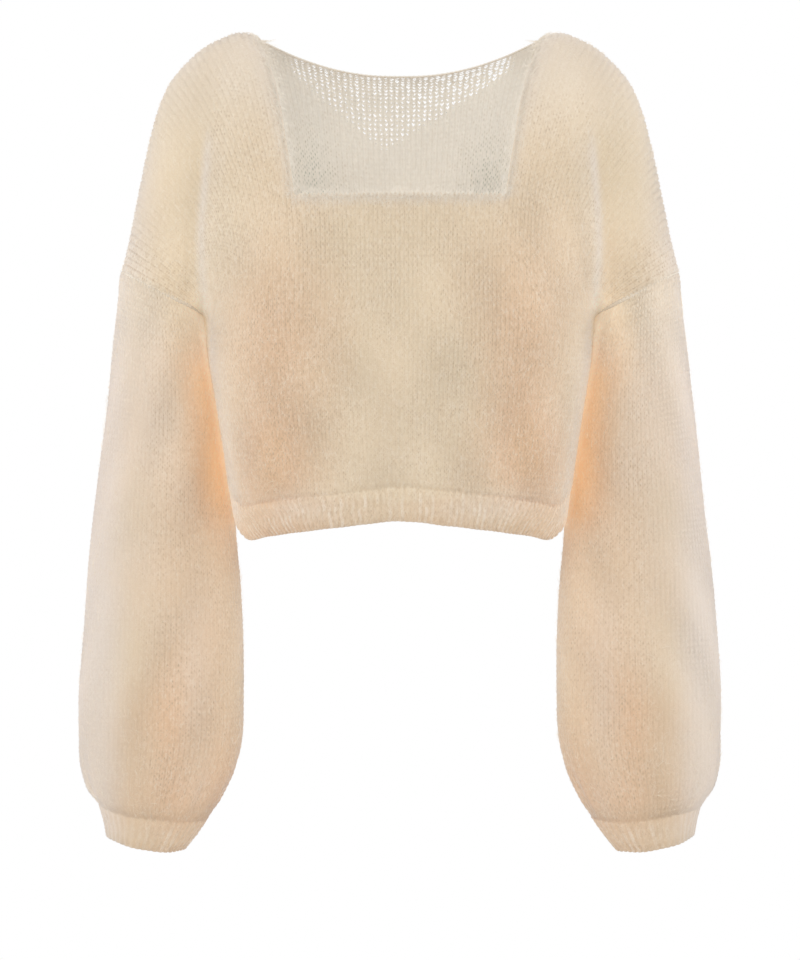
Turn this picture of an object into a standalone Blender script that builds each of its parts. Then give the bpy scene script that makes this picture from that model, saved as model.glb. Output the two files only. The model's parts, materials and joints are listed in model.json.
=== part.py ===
"""A cropped knitted pullover in its worn, hollow form.

Front and back panels run from the hem band over the dropped shoulders to the armhole seams on the
upper arms. Full balloon sleeves hang from those seams to ribbed cuffs. The front has a low square
neck, the back a shallow curved one. Metres, +Z up, the front faces -Y, and the origin lies midway
between the tops of the shoulders, where the wearer carries the garment.
"""

import bpy
import numpy as np

MM = 0.001

# Cloth
WALL = 2.2 * MM
RIB_RELIEF = 0.8 * MM
SEAM_GAP = 0.3 * MM
SLEEVE_CLEARANCE = 1.2 * MM

# Heights and the plane that holds the side seams and the shoulder seams
UNDERARM_Z = -241 * MM
SEAM_PLANE_Y = 10 * MM
HEM_BAND_HEIGHT = 27 * MM

# Front neck: where its side edges stand across the panel, and the height of its bottom edge
NECK_COLUMN = 0.37
NECK_BOTTOM_Z = -143 * MM

# Armhole ring, from the underarm to the top of the shoulder seam, and its depth each way
ARMHOLE_BOTTOM = np.array([167.5, -241.0]) * MM
ARMHOLE_TOP = np.array([239.5, -203.0]) * MM
ARMHOLE_DEPTH = 58 * MM

# Roundness of the body's sections: 2 is an ellipse, more is squarer
FRONT_SQUARENESS = 2.35
BACK_SQUARENESS = 2.2
SECTION_ASPECT = 1.35
BLEND_POWER = 4

# Share of the way to the armhole at which a column is a half arch rather than a quarter
HALF_ARCH_FROM = 1 / 1.15

# The crease between chest and arm: how far outside the body it runs, its spread and how deep it goes
CREASE_OFFSET = 6 * MM
CREASE_SPREAD = 16 * MM
CREASE_SHARE = 0.45

# Where the cloth is rounded off under the arm: first column and row, how fast it begins, last row
RELAX_COLUMN = 0.5
RELAX_COLUMN_FADE = 0.2
RELAX_ROW = 0.7
RELAX_ROW_FADE = 0.3
RELAX_LAST_ROW = 1.95
RELAX_LAST_FADE = 0.35
RELAX_ROUNDS = 60
FINER = 4
ROW_SAMPLES = 241

# Body folds: depth that counts as a whole share, and how they gain depth above the hem
FOLD_DEPTH_SCALE = 100 * MM
FOLD_AT_HEM = 0.25
FOLD_GROWTH = 2

# The stretch of sleeve that hangs beside the body: from just above the underarm to below the hem
BESIDE_ABOVE = 0.5 * MM
BESIDE_BELOW = 20 * MM

# Grids: steps around and along each piece
NECK_COLUMNS = 5
SIDE_COLUMNS = 10
LOWER_ROWS = 8
UPPER_ROWS = 12
SLEEVE_COLUMNS = 28
SLEEVE_ROWS = 18
BAND_ROWS = 2
HEM_RIBS = 160
CUFF_RIBS = 42
SHARP_ANGLE = 50

# The body: height, half width, depth in front of the seam plane and depth behind it, in mm
BODY = np.array([
    (-440, 135, 99, 83),
    (-421, 141, 106, 88),
    (-399, 145, 112, 92),
    (-357, 151, 121, 96),
    (-314, 158, 128, 98),
    (-271, 165, 132, 99),
    (-228, 168, 132, 100),
    (-194, 168, 128, 101),
    (-143, 164, 122, 101),
    (-83, 159, 116, 101),
    (0, 152, 112, 101),
]) * MM

# The lower edge of the hem: place across a half panel, height in front and height behind, in mm
HEM_EDGE = np.array([
    (-0.20, -420.5, -413),
    (0.00, -416.5, -410),
    (0.20, -420.5, -413),
    (0.40, -425.0, -417),
    (0.60, -429.5, -421),
    (0.76, -432.5, -424),
    (0.88, -424.5, -421),
    (1.00, -416.5, -416.5),
])

# The side edge of the front neck and its line down the panel: height and half width, in mm
NECK_SIDE = np.array([
    (-241, 83),
    (-190, 84),
    (-143, 87),
    (-100, 94),
    (-40, 106),
    (-5.5, 118),
]) * MM

# The shoulder seam, from the neck to the armhole: half width and height, in mm
SHOULDER_SEAM = np.array([
    (118.0, -5.5),
    (127.0, 0.5),
    (137.0, 2.0),
    (155.0, -4.0),
    (169.0, -11.5),
    (184.0, -25.0),
    (196.0, -39.0),
    (208.0, -65.0),
    (215.0, -91.0),
    (226.0, -143.0),
    (235.0, -186.0),
    (239.5, -203.0),
]) * MM

# The back neck edge: place from the middle to the shoulder, half width, height and depth, in mm
BACK_NECK = np.array([
    (-0.25, -29, -28.5, 54),
    (0.00, 0, -29.5, 56),
    (0.25, 29, -28.5, 54),
    (0.50, 59, -24.0, 45),
    (0.75, 89, -16.0, 27),
    (1.00, 118, -5.5, 0),
])

# The sleeve: outer x and z, inner x and z, middle y, half depth and drop of the front, in mm
SLEEVE = np.array([
    (239.5, -203, 167.5, -241, 10, 58, 0),
    (243.0, -233, 160.0, -268, 20, 59, 0),
    (248.0, -268, 153.5, -300, 30, 60, 0),
    (253.0, -310, 149.0, -336, 36, 61, 0),
    (258.5, -355, 145.0, -376, 39, 62, 0),
    (264.0, -407, 142.0, -422, 40, 63, 0),
    (269.5, -457, 137.0, -464, 38, 64, 0),
    (273.5, -507, 134.0, -510, 34, 65, 0),
    (277.0, -560, 133.0, -560, 29, 65, 1),
    (276.5, -598, 134.0, -602, 24, 63, 2),
    (275.0, -624, 141.5, -631, 20, 58, 4),
    (268.5, -645, 153.5, -654, 17, 51, 5),
    (258.5, -660, 164.0, -671, 15, 44, 6),
]) * MM

# The cuff: the same columns, from its seam to its free edge
CUFF = np.array([
    (258.5, -660, 164.0, -671, 15, 44, 6),
    (254.5, -673, 174.0, -685, 14, 38, 6),
    (252.0, -685, 184.0, -697, 13, 33.0, 6),
]) * MM

# Soft troughs along the sleeve: angle from the outer side, spread round the sleeve (both in degrees),
# first and last ring it fades between, and depth in mm
SLEEVE_FOLDS = np.array([
    (62, 20, 5.0, 12.5, 4.0),
    (128, 22, 2.0, 9.0, 3.0),
    (205, 24, 6.0, 12.0, 3.5),
    (262, 20, 3.0, 12.5, 4.0),
    (318, 18, 6.5, 12.5, 3.0),
])

# Soft folds of the body, front and back alike: the share across a half panel at the hem and at the
# underarm, the spread, how far up the panel it reaches, and depth in mm
BODY_FOLDS = np.array([
    (0.20, 0.10, 0.06, 0.65, 1.6),
    (0.47, 0.33, 0.07, 0.85, 2.6),
    (0.72, 0.60, 0.07, 1.10, 3.2),
    (0.93, 0.84, 0.05, 0.70, 2.0),
])

COLOURS = {
    "front_panel": (0.82, 0.68, 0.50),
    "back_panel": (0.80, 0.70, 0.55),
    "sleeve": (0.83, 0.68, 0.50),
    "rib": (0.80, 0.65, 0.46),
}
CLOTH_ROUGHNESS = 0.95


def clear_scene():
    for thing in list(bpy.data.objects):
        bpy.data.objects.remove(thing, do_unlink=True)


def through(table, column, x, key=0):
    """The smooth curve through one column of a table: a cubic between rows, with each row's slope."""
    order = np.argsort(table[:, key])
    xs = table[order, key]
    ys = table[order, column]
    slopes = np.gradient(ys, xs)
    low = np.clip(np.searchsorted(xs, x) - 1, 0, len(xs) - 2)
    span = xs[low + 1] - xs[low]
    t = np.clip((x - xs[low]) / span, 0, 1)
    rise = ys[low + 1] - ys[low]
    bend_in = slopes[low] * span - rise
    bend_out = -slopes[low + 1] * span + rise
    return ys[low] + t * rise + t * (1 - t) * ((1 - t) * bend_in + t * bend_out)


def along(points, share):
    """Points at equal shares of a polyline's length, smoothed through its corners."""
    steps = np.linalg.norm(np.diff(points, axis=0), axis=1)
    reach = np.append(0, np.cumsum(steps)) / steps.sum()
    table = np.column_stack([reach, points])
    return np.stack([through(table, 1 + k, share) for k in range(points.shape[1])], axis=-1)


def section_angle(u, squareness):
    """The angle round a body section at which the share u of its quarter length is reached."""
    angles = np.linspace(0, np.pi / 2, 181)
    x = SECTION_ASPECT * np.sin(angles) ** (2 / squareness)
    y = np.cos(angles) ** (2 / squareness)
    steps = np.hypot(np.diff(x), np.diff(y))
    reach = np.append(0, np.cumsum(steps)) / steps.sum()
    return np.interp(u, reach, angles)


def smoothstep(x):
    t = np.clip(x, 0, 1)
    return t * t * (3 - 2 * t)


def body_section(u, z, front):
    """A point of the body below the underarm: half width and depth from the seam plane."""
    squareness = FRONT_SQUARENESS if front else BACK_SQUARENESS
    angle = section_angle(u, squareness)
    x = through(BODY, 1, z) * np.sin(angle) ** (2 / squareness)
    depth = through(BODY, 2 if front else 3, z) * np.cos(angle) ** (2 / squareness)
    return x, depth


def hem_edge_z(u, front):
    return through(HEM_EDGE, 1 if front else 2, u) * MM


def lower_points(u, v, front):
    """The panel from the hem seam (v = 0) to the underarm (v = 1): body sections one above another."""
    bottom = hem_edge_z(u, front) + HEM_BAND_HEIGHT
    z = bottom + (UNDERARM_Z - bottom) * v
    x, depth = body_section(u, z, front)
    return x, depth, z


def evenly_across(points, share):
    """One row of points, moved along their own polyline to the given shares of its length."""
    steps = np.linalg.norm(np.diff(points, axis=0), axis=1)
    reach = np.append(0, np.cumsum(steps)) / steps.sum()
    return np.stack([np.interp(share, reach, points[:, k]) for k in range(3)], axis=-1)


def upper_points(u, v, front):
    """The upper panel on a grid of rows v and columns u, its columns at even steps beside the neck."""
    beside = np.linspace(NECK_COLUMN, 1, ROW_SAMPLES)
    dense = np.stack(arch_points(*np.meshgrid(beside, v[:, 0]), front), axis=-1)
    plain = np.stack(arch_points(u, v, front), axis=-1)
    share = (u - NECK_COLUMN) / (1 - NECK_COLUMN)
    even = np.stack([evenly_across(row, part) for row, part in zip(dense, share)])
    points = np.where((share > 0)[..., None], even, plain)
    return points[..., 0], points[..., 1], points[..., 2]


def arch_points(u, v, front):
    """The panel from the underarm (v = 0) to the shoulder seam (v = 1).

    Each column of the cloth is an arch that leans out over the arm. Seen from the front, the arches
    fill the patch between the line of the neck, the armhole ring, the underarm level and the
    shoulder seam. Their depth is the larger of the chest's and the upper arm's, blended at the
    crease between them, and closes to nothing at the seam.
    """
    theta = v * np.pi
    s = np.clip((u - NECK_COLUMN) / (1 - NECK_COLUMN), 0, 1)
    round_share = smoothstep(s / HALF_ARCH_FROM)
    rise = (1 - round_share) * np.sin(theta / 2) + round_share * (1 - np.cos(theta)) / 2

    base_x, base_depth = body_section(u, np.full_like(u, UNDERARM_Z), front)
    base = np.stack([base_x, np.full_like(u, UNDERARM_Z)], axis=-1)
    neck_z = UNDERARM_Z + (NECK_SIDE[-1, 0] - UNDERARM_Z) * rise
    neck = np.stack([through(NECK_SIDE, 1, neck_z), neck_z], axis=-1)
    ring = ARMHOLE_BOTTOM + (ARMHOLE_TOP - ARMHOLE_BOTTOM) * rise[..., None]
    seam = along(SHOULDER_SEAM, s)
    s3 = s[..., None]
    r3 = rise[..., None]
    corners = (
        (1 - s3) * (1 - r3) * NECK_SIDE[0, ::-1]
        + (1 - s3) * r3 * NECK_SIDE[-1, ::-1]
        + s3 * (1 - r3) * ARMHOLE_BOTTOM
        + s3 * r3 * ARMHOLE_TOP
    )
    layout = (1 - s3) * neck + s3 * ring + (1 - r3) * base + r3 * seam - corners

    inside = np.clip(u / NECK_COLUMN, 0, 1)
    if front:
        middle_x = neck[..., 0] * inside
        middle_z = neck_z
        open_share = 0 * u
    else:
        top_x, top_z, top_depth = (through(BACK_NECK, k, inside) * MM for k in (1, 2, 3))
        middle_x = base_x + (top_x - base_x) * rise
        middle_z = UNDERARM_Z + (top_z - UNDERARM_Z) * rise
        open_share = np.where(u < NECK_COLUMN, top_depth / base_depth.clip(MM), 0)
    over_neck = u < NECK_COLUMN
    x = np.where(over_neck, middle_x, layout[..., 0])
    z = np.where(over_neck, middle_z, layout[..., 1])

    squareness = FRONT_SQUARENESS if front else BACK_SQUARENESS
    chest_share = np.clip(x / through(BODY, 1, z), 0, 1)
    chest = through(BODY, 2 if front else 3, z) * (1 - chest_share**squareness) ** (1 / squareness)
    crease = np.exp(-(((x - through(BODY, 1, z) - CREASE_OFFSET) / CREASE_SPREAD) ** 2))
    drawn = CREASE_SHARE * crease * (1 - v) * (1 - s)
    arm = 2 * ARMHOLE_DEPTH * np.sin(theta / 2) * (1 - drawn)
    bulge = (chest**BLEND_POWER + arm**BLEND_POWER) ** (1 / BLEND_POWER)
    closing = open_share + (1 - open_share) * np.cos(theta / 2)
    return x, bulge * closing, z


def body_fold(across, v):
    """How far the body's folds draw its depth in, as a share: troughs that lean in as they rise."""
    drawn = 0 * across
    for at_hem, at_underarm, spread, top, depth in BODY_FOLDS:
        middle = at_hem + (at_underarm - at_hem) * v
        fade = smoothstep((top - v) / top) * smoothstep(FOLD_AT_HEM + FOLD_GROWTH * v)
        drawn = drawn + depth * MM * fade * np.exp(-(((across - middle) / spread) ** 2))
    return drawn / FOLD_DEPTH_SCALE


def panel_points(u, v, front):
    """A panel's outer face. u runs from -1 to 1 across, v from 0 at the hem by 1 at the underarm to 2."""
    across = np.abs(u)
    low = lower_points(across, np.clip(v, 0, 1), front)
    high = upper_points(across, np.clip(v - 1, 0, 1), front)
    x, depth, z = (np.where(v <= 1, a, b) for a, b in zip(low, high))
    depth = depth * (1 - body_fold(across, v))
    y = SEAM_PLANE_Y - depth if front else SEAM_PLANE_Y + depth
    return np.stack([np.sign(u) * x, y, z], axis=-1)


def grid_normals(points, around):
    """Outward normals of a grid of points; around says that its columns close into a ring."""
    if around:
        wide = np.concatenate([points[:, -1:], points, points[:, :1]], axis=1)
        across = (wide[:, 2:] - wide[:, :-2]) / 2
    else:
        across = np.gradient(points, axis=1)
    normals = np.cross(across, np.gradient(points, axis=0))
    return normals / np.linalg.norm(normals, axis=-1, keepdims=True).clip(1e-12)


def grid_quads(rows, columns, around):
    """Corner numbers of each quad of a grid, row by row."""
    wide = columns if around else columns - 1
    row, column = np.meshgrid(np.arange(rows - 1), np.arange(wide), indexing="ij")
    after = (column + 1) % columns
    corners = [row * columns + column, row * columns + after]
    corners += [(row + 1) * columns + after, (row + 1) * columns + column]
    return np.stack(corners, axis=-1)


def cloth_wall(name, outer, inner, quads, colour):
    """A closed wall between two faces with the same grid: both faces, and a rim round every open edge."""
    shift = len(outer)
    faces = quads.reshape(-1, 4)
    edges = np.concatenate([faces[:, [k, (k + 1) % 4]] for k in range(4)])
    there = {tuple(edge) for edge in edges.tolist()}
    rims = [(a, b) for a, b in edges.tolist() if (b, a) not in there]
    rim_faces = [(b, a, a + shift, b + shift) for a, b in rims]
    all_faces = faces.tolist() + (faces[:, ::-1] + shift).tolist() + rim_faces
    used = np.unique(faces)
    number = np.full(2 * shift, -1)
    number[np.concatenate([used, used + shift])] = np.arange(2 * len(used))
    points = np.concatenate([outer[used], inner[used]])
    mesh = bpy.data.meshes.new(name)
    mesh.from_pydata(points.tolist(), [], [[int(number[k]) for k in face] for face in all_faces])
    mesh.shade_smooth()
    mesh.set_sharp_from_angle(angle=np.radians(SHARP_ANGLE))
    mesh.materials.append(colour)
    thing = bpy.data.objects.new(name, mesh)
    bpy.context.scene.collection.objects.link(thing)
    return thing


def cloth_material(name, colour):
    material = bpy.data.materials.new(name)
    material.use_nodes = True
    shader = material.node_tree.nodes["Principled BSDF"]
    shader.inputs["Base Color"].default_value = (*colour, 1)
    shader.inputs["Roughness"].default_value = CLOTH_ROUGHNESS
    shader.inputs["Metallic"].default_value = 0.0
    return material


def relax(points, share, rounds):
    """Draws every inner point towards the mean of its four neighbours, as cloth rounds off a crease."""
    for _ in range(rounds):
        mean = (points[:-2, 1:-1] + points[2:, 1:-1] + points[1:-1, :-2] + points[1:-1, 2:]) / 4
        points[1:-1, 1:-1] += share[1:-1, 1:-1, None] * (mean - points[1:-1, 1:-1])
    return points


def refined(steps, times):
    """Steps with times - 1 even ones added between each pair."""
    places = np.arange(times * (len(steps) - 1) + 1) / times
    return np.interp(places, np.arange(len(steps)), steps)


def panel_surface(columns, rows, front, times):
    """A panel's outer face on a grid, worked out on one times finer and relaxed under the arm."""
    u, v = np.meshgrid(refined(columns, times), refined(rows, times))
    points = panel_points(u, v, front)
    share = smoothstep((np.abs(u) - RELAX_COLUMN) / RELAX_COLUMN_FADE)
    share *= smoothstep((v - RELAX_ROW) / RELAX_ROW_FADE)
    share *= smoothstep((RELAX_LAST_ROW - v) / RELAX_LAST_FADE)
    return relax(points, share, RELAX_ROUNDS)[::times, ::times]


def neck_row_share():
    """The share of the upper rows at which the line of the neck reaches the bottom of the square."""
    rise = (NECK_BOTTOM_Z - UNDERARM_Z) / (NECK_SIDE[-1, 0] - UNDERARM_Z)
    return 2 * np.arcsin(rise) / np.pi


def panel_grid(front):
    """Columns and rows of a panel, with a column at each side of the neck and a row at its bottom."""
    inside = np.linspace(0, NECK_COLUMN, NECK_COLUMNS + 1)
    outside = np.linspace(NECK_COLUMN, 1, SIDE_COLUMNS + 1)
    half = np.concatenate([inside, outside[1:]])
    columns = np.concatenate([-half[:0:-1], half])
    lower = np.linspace(0, 1, LOWER_ROWS + 1)
    share = neck_row_share()
    below = int(round(share * UPPER_ROWS)) + 1
    above = np.linspace(share, 1, UPPER_ROWS - below + 2)
    up = np.concatenate([np.linspace(0, share, below), above[1:]])
    rows = np.concatenate([lower, 1 + up[1:]])
    keep = np.ones((len(rows) - 1, len(columns) - 1), dtype=bool)
    if front:
        middle = np.abs((columns[1:] + columns[:-1]) / 2) < NECK_COLUMN
        beside = (rows[1:] + rows[:-1]) / 2 > 1 + share
        keep[np.ix_(beside, middle)] = False
    return columns, rows, keep


def ring_inward(theta, side):
    """Directions from the armhole ring towards its middle, in the ring's own plane."""
    tall = ARMHOLE_TOP - ARMHOLE_BOTTOM
    half = np.linalg.norm(tall) / 2
    lean = tall / np.linalg.norm(tall)
    up = np.cos(theta) / half
    deep = np.sin(theta) / ARMHOLE_DEPTH
    inward = np.stack([side * lean[0] * up, deep, lean[1] * up], axis=-1)
    return inward / np.linalg.norm(inward, axis=-1, keepdims=True)


def make_panel(name, front, colour):
    columns, rows, keep = panel_grid(front)
    outer = panel_surface(columns, rows, front, FINER)
    normals = grid_normals(outer, False)
    if not front:
        normals = -normals
    # Rims lie in their seams: level at the hem, in the ring's plane at the armhole, up at the underarm
    normals[0, :, 2] = 0
    ring_rows = rows > 1
    theta = (rows[ring_rows] - 1) * np.pi
    for column, side in ((0, -1), (-1, 1)):
        inward = ring_inward(theta, side)
        if not front:
            inward[:, 1] *= -1
        normals[ring_rows, column] = -inward
        normals[np.isclose(rows, 1), column] = (0, 0, -1)
    normals /= np.linalg.norm(normals, axis=-1, keepdims=True)
    inner = outer - WALL * normals
    for face in (outer, inner):
        if front:
            face[..., 1] = np.minimum(face[..., 1], SEAM_PLANE_Y - SEAM_GAP / 2)
        else:
            face[..., 1] = np.maximum(face[..., 1], SEAM_PLANE_Y + SEAM_GAP / 2)
    quads = grid_quads(len(rows), len(columns), False)[keep]
    if not front:
        quads = quads[:, ::-1]
    return cloth_wall(name, outer.reshape(-1, 3), inner.reshape(-1, 3), quads, colour)


def ring_points(table, row, angle, side):
    """Points round a sleeve or cuff: an ellipse between its outer and inner points, row by row."""
    places = np.arange(len(table), dtype=float)
    indexed = np.column_stack([places, table])
    outer_x, outer_z, inner_x, inner_z, y, depth, drop = (
        through(indexed, k, row) for k in range(1, 8)
    )
    lean = np.cos(angle)
    x = (outer_x + inner_x) / 2 + (outer_x - inner_x) / 2 * lean
    z = (outer_z + inner_z) / 2 + (outer_z - inner_z) / 2 * lean - drop * np.sin(angle)
    return np.stack([side * x, y - depth * np.sin(angle), z], axis=-1)


def sleeve_fold(row, angle):
    """How deep the sleeve's troughs are at each point: long soft dents, deepest between their ends."""
    dent = 0 * row
    for middle, spread, first, last, depth in SLEEVE_FOLDS:
        across = np.degrees(np.arccos(np.cos(angle - np.radians(middle)))) / spread
        length = np.sin(np.pi * np.clip((row - first) / (last - first), 0, 1)) ** 2
        dent = dent + depth * MM * length * np.exp(-(across**2))
    return dent


def clear_of_body(points, side, clearance):
    """Moves a sleeve's points out to the body's side wherever they would come nearer than clearance."""
    y, z = points[..., 1], points[..., 2]
    depth = SEAM_PLANE_Y - y
    reach = np.where(depth > 0, through(BODY, 2, z), through(BODY, 3, z))
    squareness = np.where(depth > 0, FRONT_SQUARENESS, BACK_SQUARENESS)
    share = np.clip(np.abs(depth) / reach, 0, 1)
    edge = through(BODY, 1, z) * (1 - share**squareness) ** (1 / squareness)
    x = np.maximum(side * points[..., 0], edge + clearance)
    beside = z < UNDERARM_Z + BESIDE_ABOVE
    beside &= z > HEM_EDGE[:, 1:].min() * MM - BESIDE_BELOW
    points[..., 0] = np.where(beside, side * x, points[..., 0])
    return points


def sleeve_grid(side):
    """A sleeve's outer face: rings from the armhole seam to the cuff seam."""
    row, angle = np.meshgrid(
        np.linspace(0, len(SLEEVE) - 1, SLEEVE_ROWS + 1),
        np.linspace(0, 2 * np.pi, SLEEVE_COLUMNS, endpoint=False),
        indexing="ij",
    )
    plain = ring_points(SLEEVE, row, angle, side)
    inward = -side * grid_normals(plain, True)
    return plain + sleeve_fold(row, angle)[..., None] * inward


def armhole_axis(side):
    """The direction in which a sleeve leaves its armhole ring."""
    tall = ARMHOLE_TOP - ARMHOLE_BOTTOM
    axis = np.array([side * tall[1], 0.0, -tall[0]])
    return axis / np.linalg.norm(axis)


def make_sleeve(name, side, colour):
    angle = np.linspace(0, 2 * np.pi, SLEEVE_COLUMNS, endpoint=False)
    outer = clear_of_body(sleeve_grid(side), side, SLEEVE_CLEARANCE)
    outer[0] = ring_points(SLEEVE, np.zeros(SLEEVE_COLUMNS), angle, side)
    normals = grid_normals(outer, True) * side
    normals[0] = -ring_inward(np.pi - angle, side)
    normals[-1, :, 2] = 0
    normals /= np.linalg.norm(normals, axis=-1, keepdims=True)
    inner = outer - WALL * normals
    for face in (outer, inner):
        face[0] += SEAM_GAP * armhole_axis(side)
    quads = grid_quads(*outer.shape[:2], True).reshape(-1, 4)
    if side < 0:
        quads = quads[:, ::-1]
    return cloth_wall(name, outer.reshape(-1, 3), inner.reshape(-1, 3), quads, colour)


def ribbed(outer, normals):
    """Outer points raised at every second column, so that ridges and furrows alternate."""
    raised = np.arange(outer.shape[1]) % 2 == 0
    return outer + (RIB_RELIEF * raised)[None, :, None] * normals


def make_cuff(name, side, colour):
    columns = 2 * CUFF_RIBS
    row, angle = np.meshgrid(
        np.linspace(0, len(CUFF) - 1, BAND_ROWS + 1),
        np.linspace(0, 2 * np.pi, columns, endpoint=False),
        indexing="ij",
    )
    plain = ring_points(CUFF, row, angle, side)
    normals = grid_normals(plain, True) * side
    normals[0, :, 2] = 0
    normals /= np.linalg.norm(normals, axis=-1, keepdims=True)
    inner = plain - WALL * normals
    outer = ribbed(plain, normals)
    for face in (outer, inner):
        face[0, :, 2] -= SEAM_GAP
    quads = grid_quads(*outer.shape[:2], True).reshape(-1, 4)
    if side < 0:
        quads = quads[:, ::-1]
    return cloth_wall(name, outer.reshape(-1, 3), inner.reshape(-1, 3), quads, colour)


def make_hem_band(name, colour):
    """The ribbed hem: one tube that follows the foot of the front and back panels."""
    columns = 2 * HEM_RIBS
    turn = np.linspace(0, 4, columns, endpoint=False)
    quarter = np.floor(turn).astype(int)
    within = turn - quarter
    u = np.where(quarter % 2 == 0, within, 1 - within)
    side = np.where(quarter < 2, 1, -1)
    front = (quarter == 0) | (quarter == 3)
    top = np.where(front, hem_edge_z(u, True), hem_edge_z(u, False)) + HEM_BAND_HEIGHT
    rows = []
    for drop in np.linspace(0, 1, BAND_ROWS + 1):
        z = top - drop * HEM_BAND_HEIGHT
        xf, df = body_section(u, z, True)
        xb, db = body_section(u, z, False)
        x = side * np.where(front, xf, xb)
        y = SEAM_PLANE_Y + np.where(front, -df, db)
        rows.append(np.stack([x, y, z], axis=-1))
    plain = np.array(rows)
    normals = -grid_normals(plain, True)
    normals[0, :, 2] = 0
    normals /= np.linalg.norm(normals, axis=-1, keepdims=True)
    inner = plain - WALL * normals
    outer = ribbed(plain, normals)
    for face in (outer, inner):
        face[0, :, 2] -= SEAM_GAP
    quads = grid_quads(*outer.shape[:2], True).reshape(-1, 4)[:, ::-1]
    return cloth_wall(name, outer.reshape(-1, 3), inner.reshape(-1, 3), quads, colour)


def main():
    clear_scene()
    front_cloth = cloth_material("front_knit", COLOURS["front_panel"])
    back_cloth = cloth_material("back_knit", COLOURS["back_panel"])
    sleeve_cloth = cloth_material("sleeve_knit", COLOURS["sleeve"])
    rib_cloth = cloth_material("rib_knit", COLOURS["rib"])
    make_panel("front_panel", True, front_cloth)
    make_panel("back_panel", False, back_cloth)
    for name, side in (("left", 1), ("right", -1)):
        make_sleeve(f"{name}_sleeve", side, sleeve_cloth)
        make_cuff(f"{name}_cuff", side, rib_cloth)
    make_hem_band("hem_band", rib_cloth)


main()
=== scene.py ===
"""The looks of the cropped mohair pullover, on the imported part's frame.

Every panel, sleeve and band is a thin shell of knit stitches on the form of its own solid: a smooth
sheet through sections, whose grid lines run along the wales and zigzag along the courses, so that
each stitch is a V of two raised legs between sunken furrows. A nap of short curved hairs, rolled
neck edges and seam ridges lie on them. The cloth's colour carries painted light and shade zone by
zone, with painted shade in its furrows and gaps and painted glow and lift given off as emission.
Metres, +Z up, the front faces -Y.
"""

import json

import bpy
import numpy as np
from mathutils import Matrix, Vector

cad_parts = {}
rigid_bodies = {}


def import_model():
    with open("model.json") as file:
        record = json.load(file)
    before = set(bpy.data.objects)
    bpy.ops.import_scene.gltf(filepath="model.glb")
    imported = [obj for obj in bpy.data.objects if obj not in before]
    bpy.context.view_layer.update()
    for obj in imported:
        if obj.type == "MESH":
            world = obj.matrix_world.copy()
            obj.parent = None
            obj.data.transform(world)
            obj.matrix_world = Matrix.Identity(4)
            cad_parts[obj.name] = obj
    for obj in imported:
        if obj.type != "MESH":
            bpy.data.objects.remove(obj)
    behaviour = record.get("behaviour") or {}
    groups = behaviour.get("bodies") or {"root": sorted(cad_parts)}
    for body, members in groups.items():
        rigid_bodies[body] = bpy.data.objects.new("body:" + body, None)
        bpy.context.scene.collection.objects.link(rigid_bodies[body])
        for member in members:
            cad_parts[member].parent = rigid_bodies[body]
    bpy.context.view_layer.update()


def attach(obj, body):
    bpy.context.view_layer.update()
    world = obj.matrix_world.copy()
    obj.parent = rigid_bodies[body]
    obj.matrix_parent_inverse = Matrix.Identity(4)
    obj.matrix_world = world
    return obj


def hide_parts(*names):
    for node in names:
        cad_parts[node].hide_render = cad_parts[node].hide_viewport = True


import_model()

MM = 0.001

# ---------------------------------------------------------------- the form, as the solids have it

UNDERARM_Z = -241 * MM
SEAM_PLANE_Y = 10 * MM
HEM_BAND_HEIGHT = 27 * MM
NECK_COLUMN = 0.37
NECK_BOTTOM_Z = -143 * MM
ARMHOLE_BOTTOM = np.array([167.5, -241.0]) * MM
ARMHOLE_TOP = np.array([239.5, -203.0]) * MM
ARMHOLE_DEPTH = 58 * MM
SLEEVE_NEARER = 1.0 * MM
FRONT_SQUARENESS = 2.35
BACK_SQUARENESS = 2.2
SECTION_ASPECT = 1.35
BLEND_POWER = 4
HALF_ARCH_FROM = 1 / 1.15
CREASE_OFFSET = 6 * MM
CREASE_SPREAD = 16 * MM
CREASE_SHARE = 0.45
RELAX_ROUNDS = 60
ROW_SAMPLES = 241
FOLD_DEPTH_SCALE = 100 * MM

# The body: height, half width, depth in front of the seam plane and depth behind it, in mm
BODY = np.array([
    (-440, 135, 99, 83),
    (-421, 141, 106, 88),
    (-399, 145, 112, 92),
    (-357, 151, 121, 96),
    (-314, 158, 128, 98),
    (-271, 165, 132, 99),
    (-228, 168, 132, 100),
    (-194, 168, 128, 101),
    (-143, 164, 122, 101),
    (-83, 159, 116, 101),
    (0, 152, 112, 101),
]) * MM

# The lower edge of the hem: place across a half panel, height in front and height behind, in mm
HEM_EDGE = np.array([
    (-0.20, -420.5, -413),
    (0.00, -416.5, -410),
    (0.20, -420.5, -413),
    (0.40, -425.0, -417),
    (0.60, -429.5, -421),
    (0.76, -432.5, -424),
    (0.88, -424.5, -421),
    (1.00, -416.5, -416.5),
])

# The side edge of the front neck and its line down the panel: height and half width, in mm
NECK_SIDE = np.array([
    (-241, 83),
    (-190, 84),
    (-143, 87),
    (-100, 94),
    (-40, 106),
    (-5.5, 118),
]) * MM

# The shoulder seam, from the neck to the armhole: half width and height, in mm
SHOULDER_SEAM = np.array([
    (118.0, -5.5),
    (127.0, 0.5),
    (137.0, 2.0),
    (155.0, -4.0),
    (169.0, -11.5),
    (184.0, -25.0),
    (196.0, -39.0),
    (208.0, -65.0),
    (215.0, -91.0),
    (226.0, -143.0),
    (235.0, -186.0),
    (239.5, -203.0),
]) * MM

# The back neck edge: place from the middle to the shoulder, half width, height and depth, in mm
BACK_NECK = np.array([
    (-0.25, -29, -28.5, 54),
    (0.00, 0, -29.5, 56),
    (0.25, 29, -28.5, 54),
    (0.50, 59, -24.0, 45),
    (0.75, 89, -16.0, 27),
    (1.00, 118, -5.5, 0),
])

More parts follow.
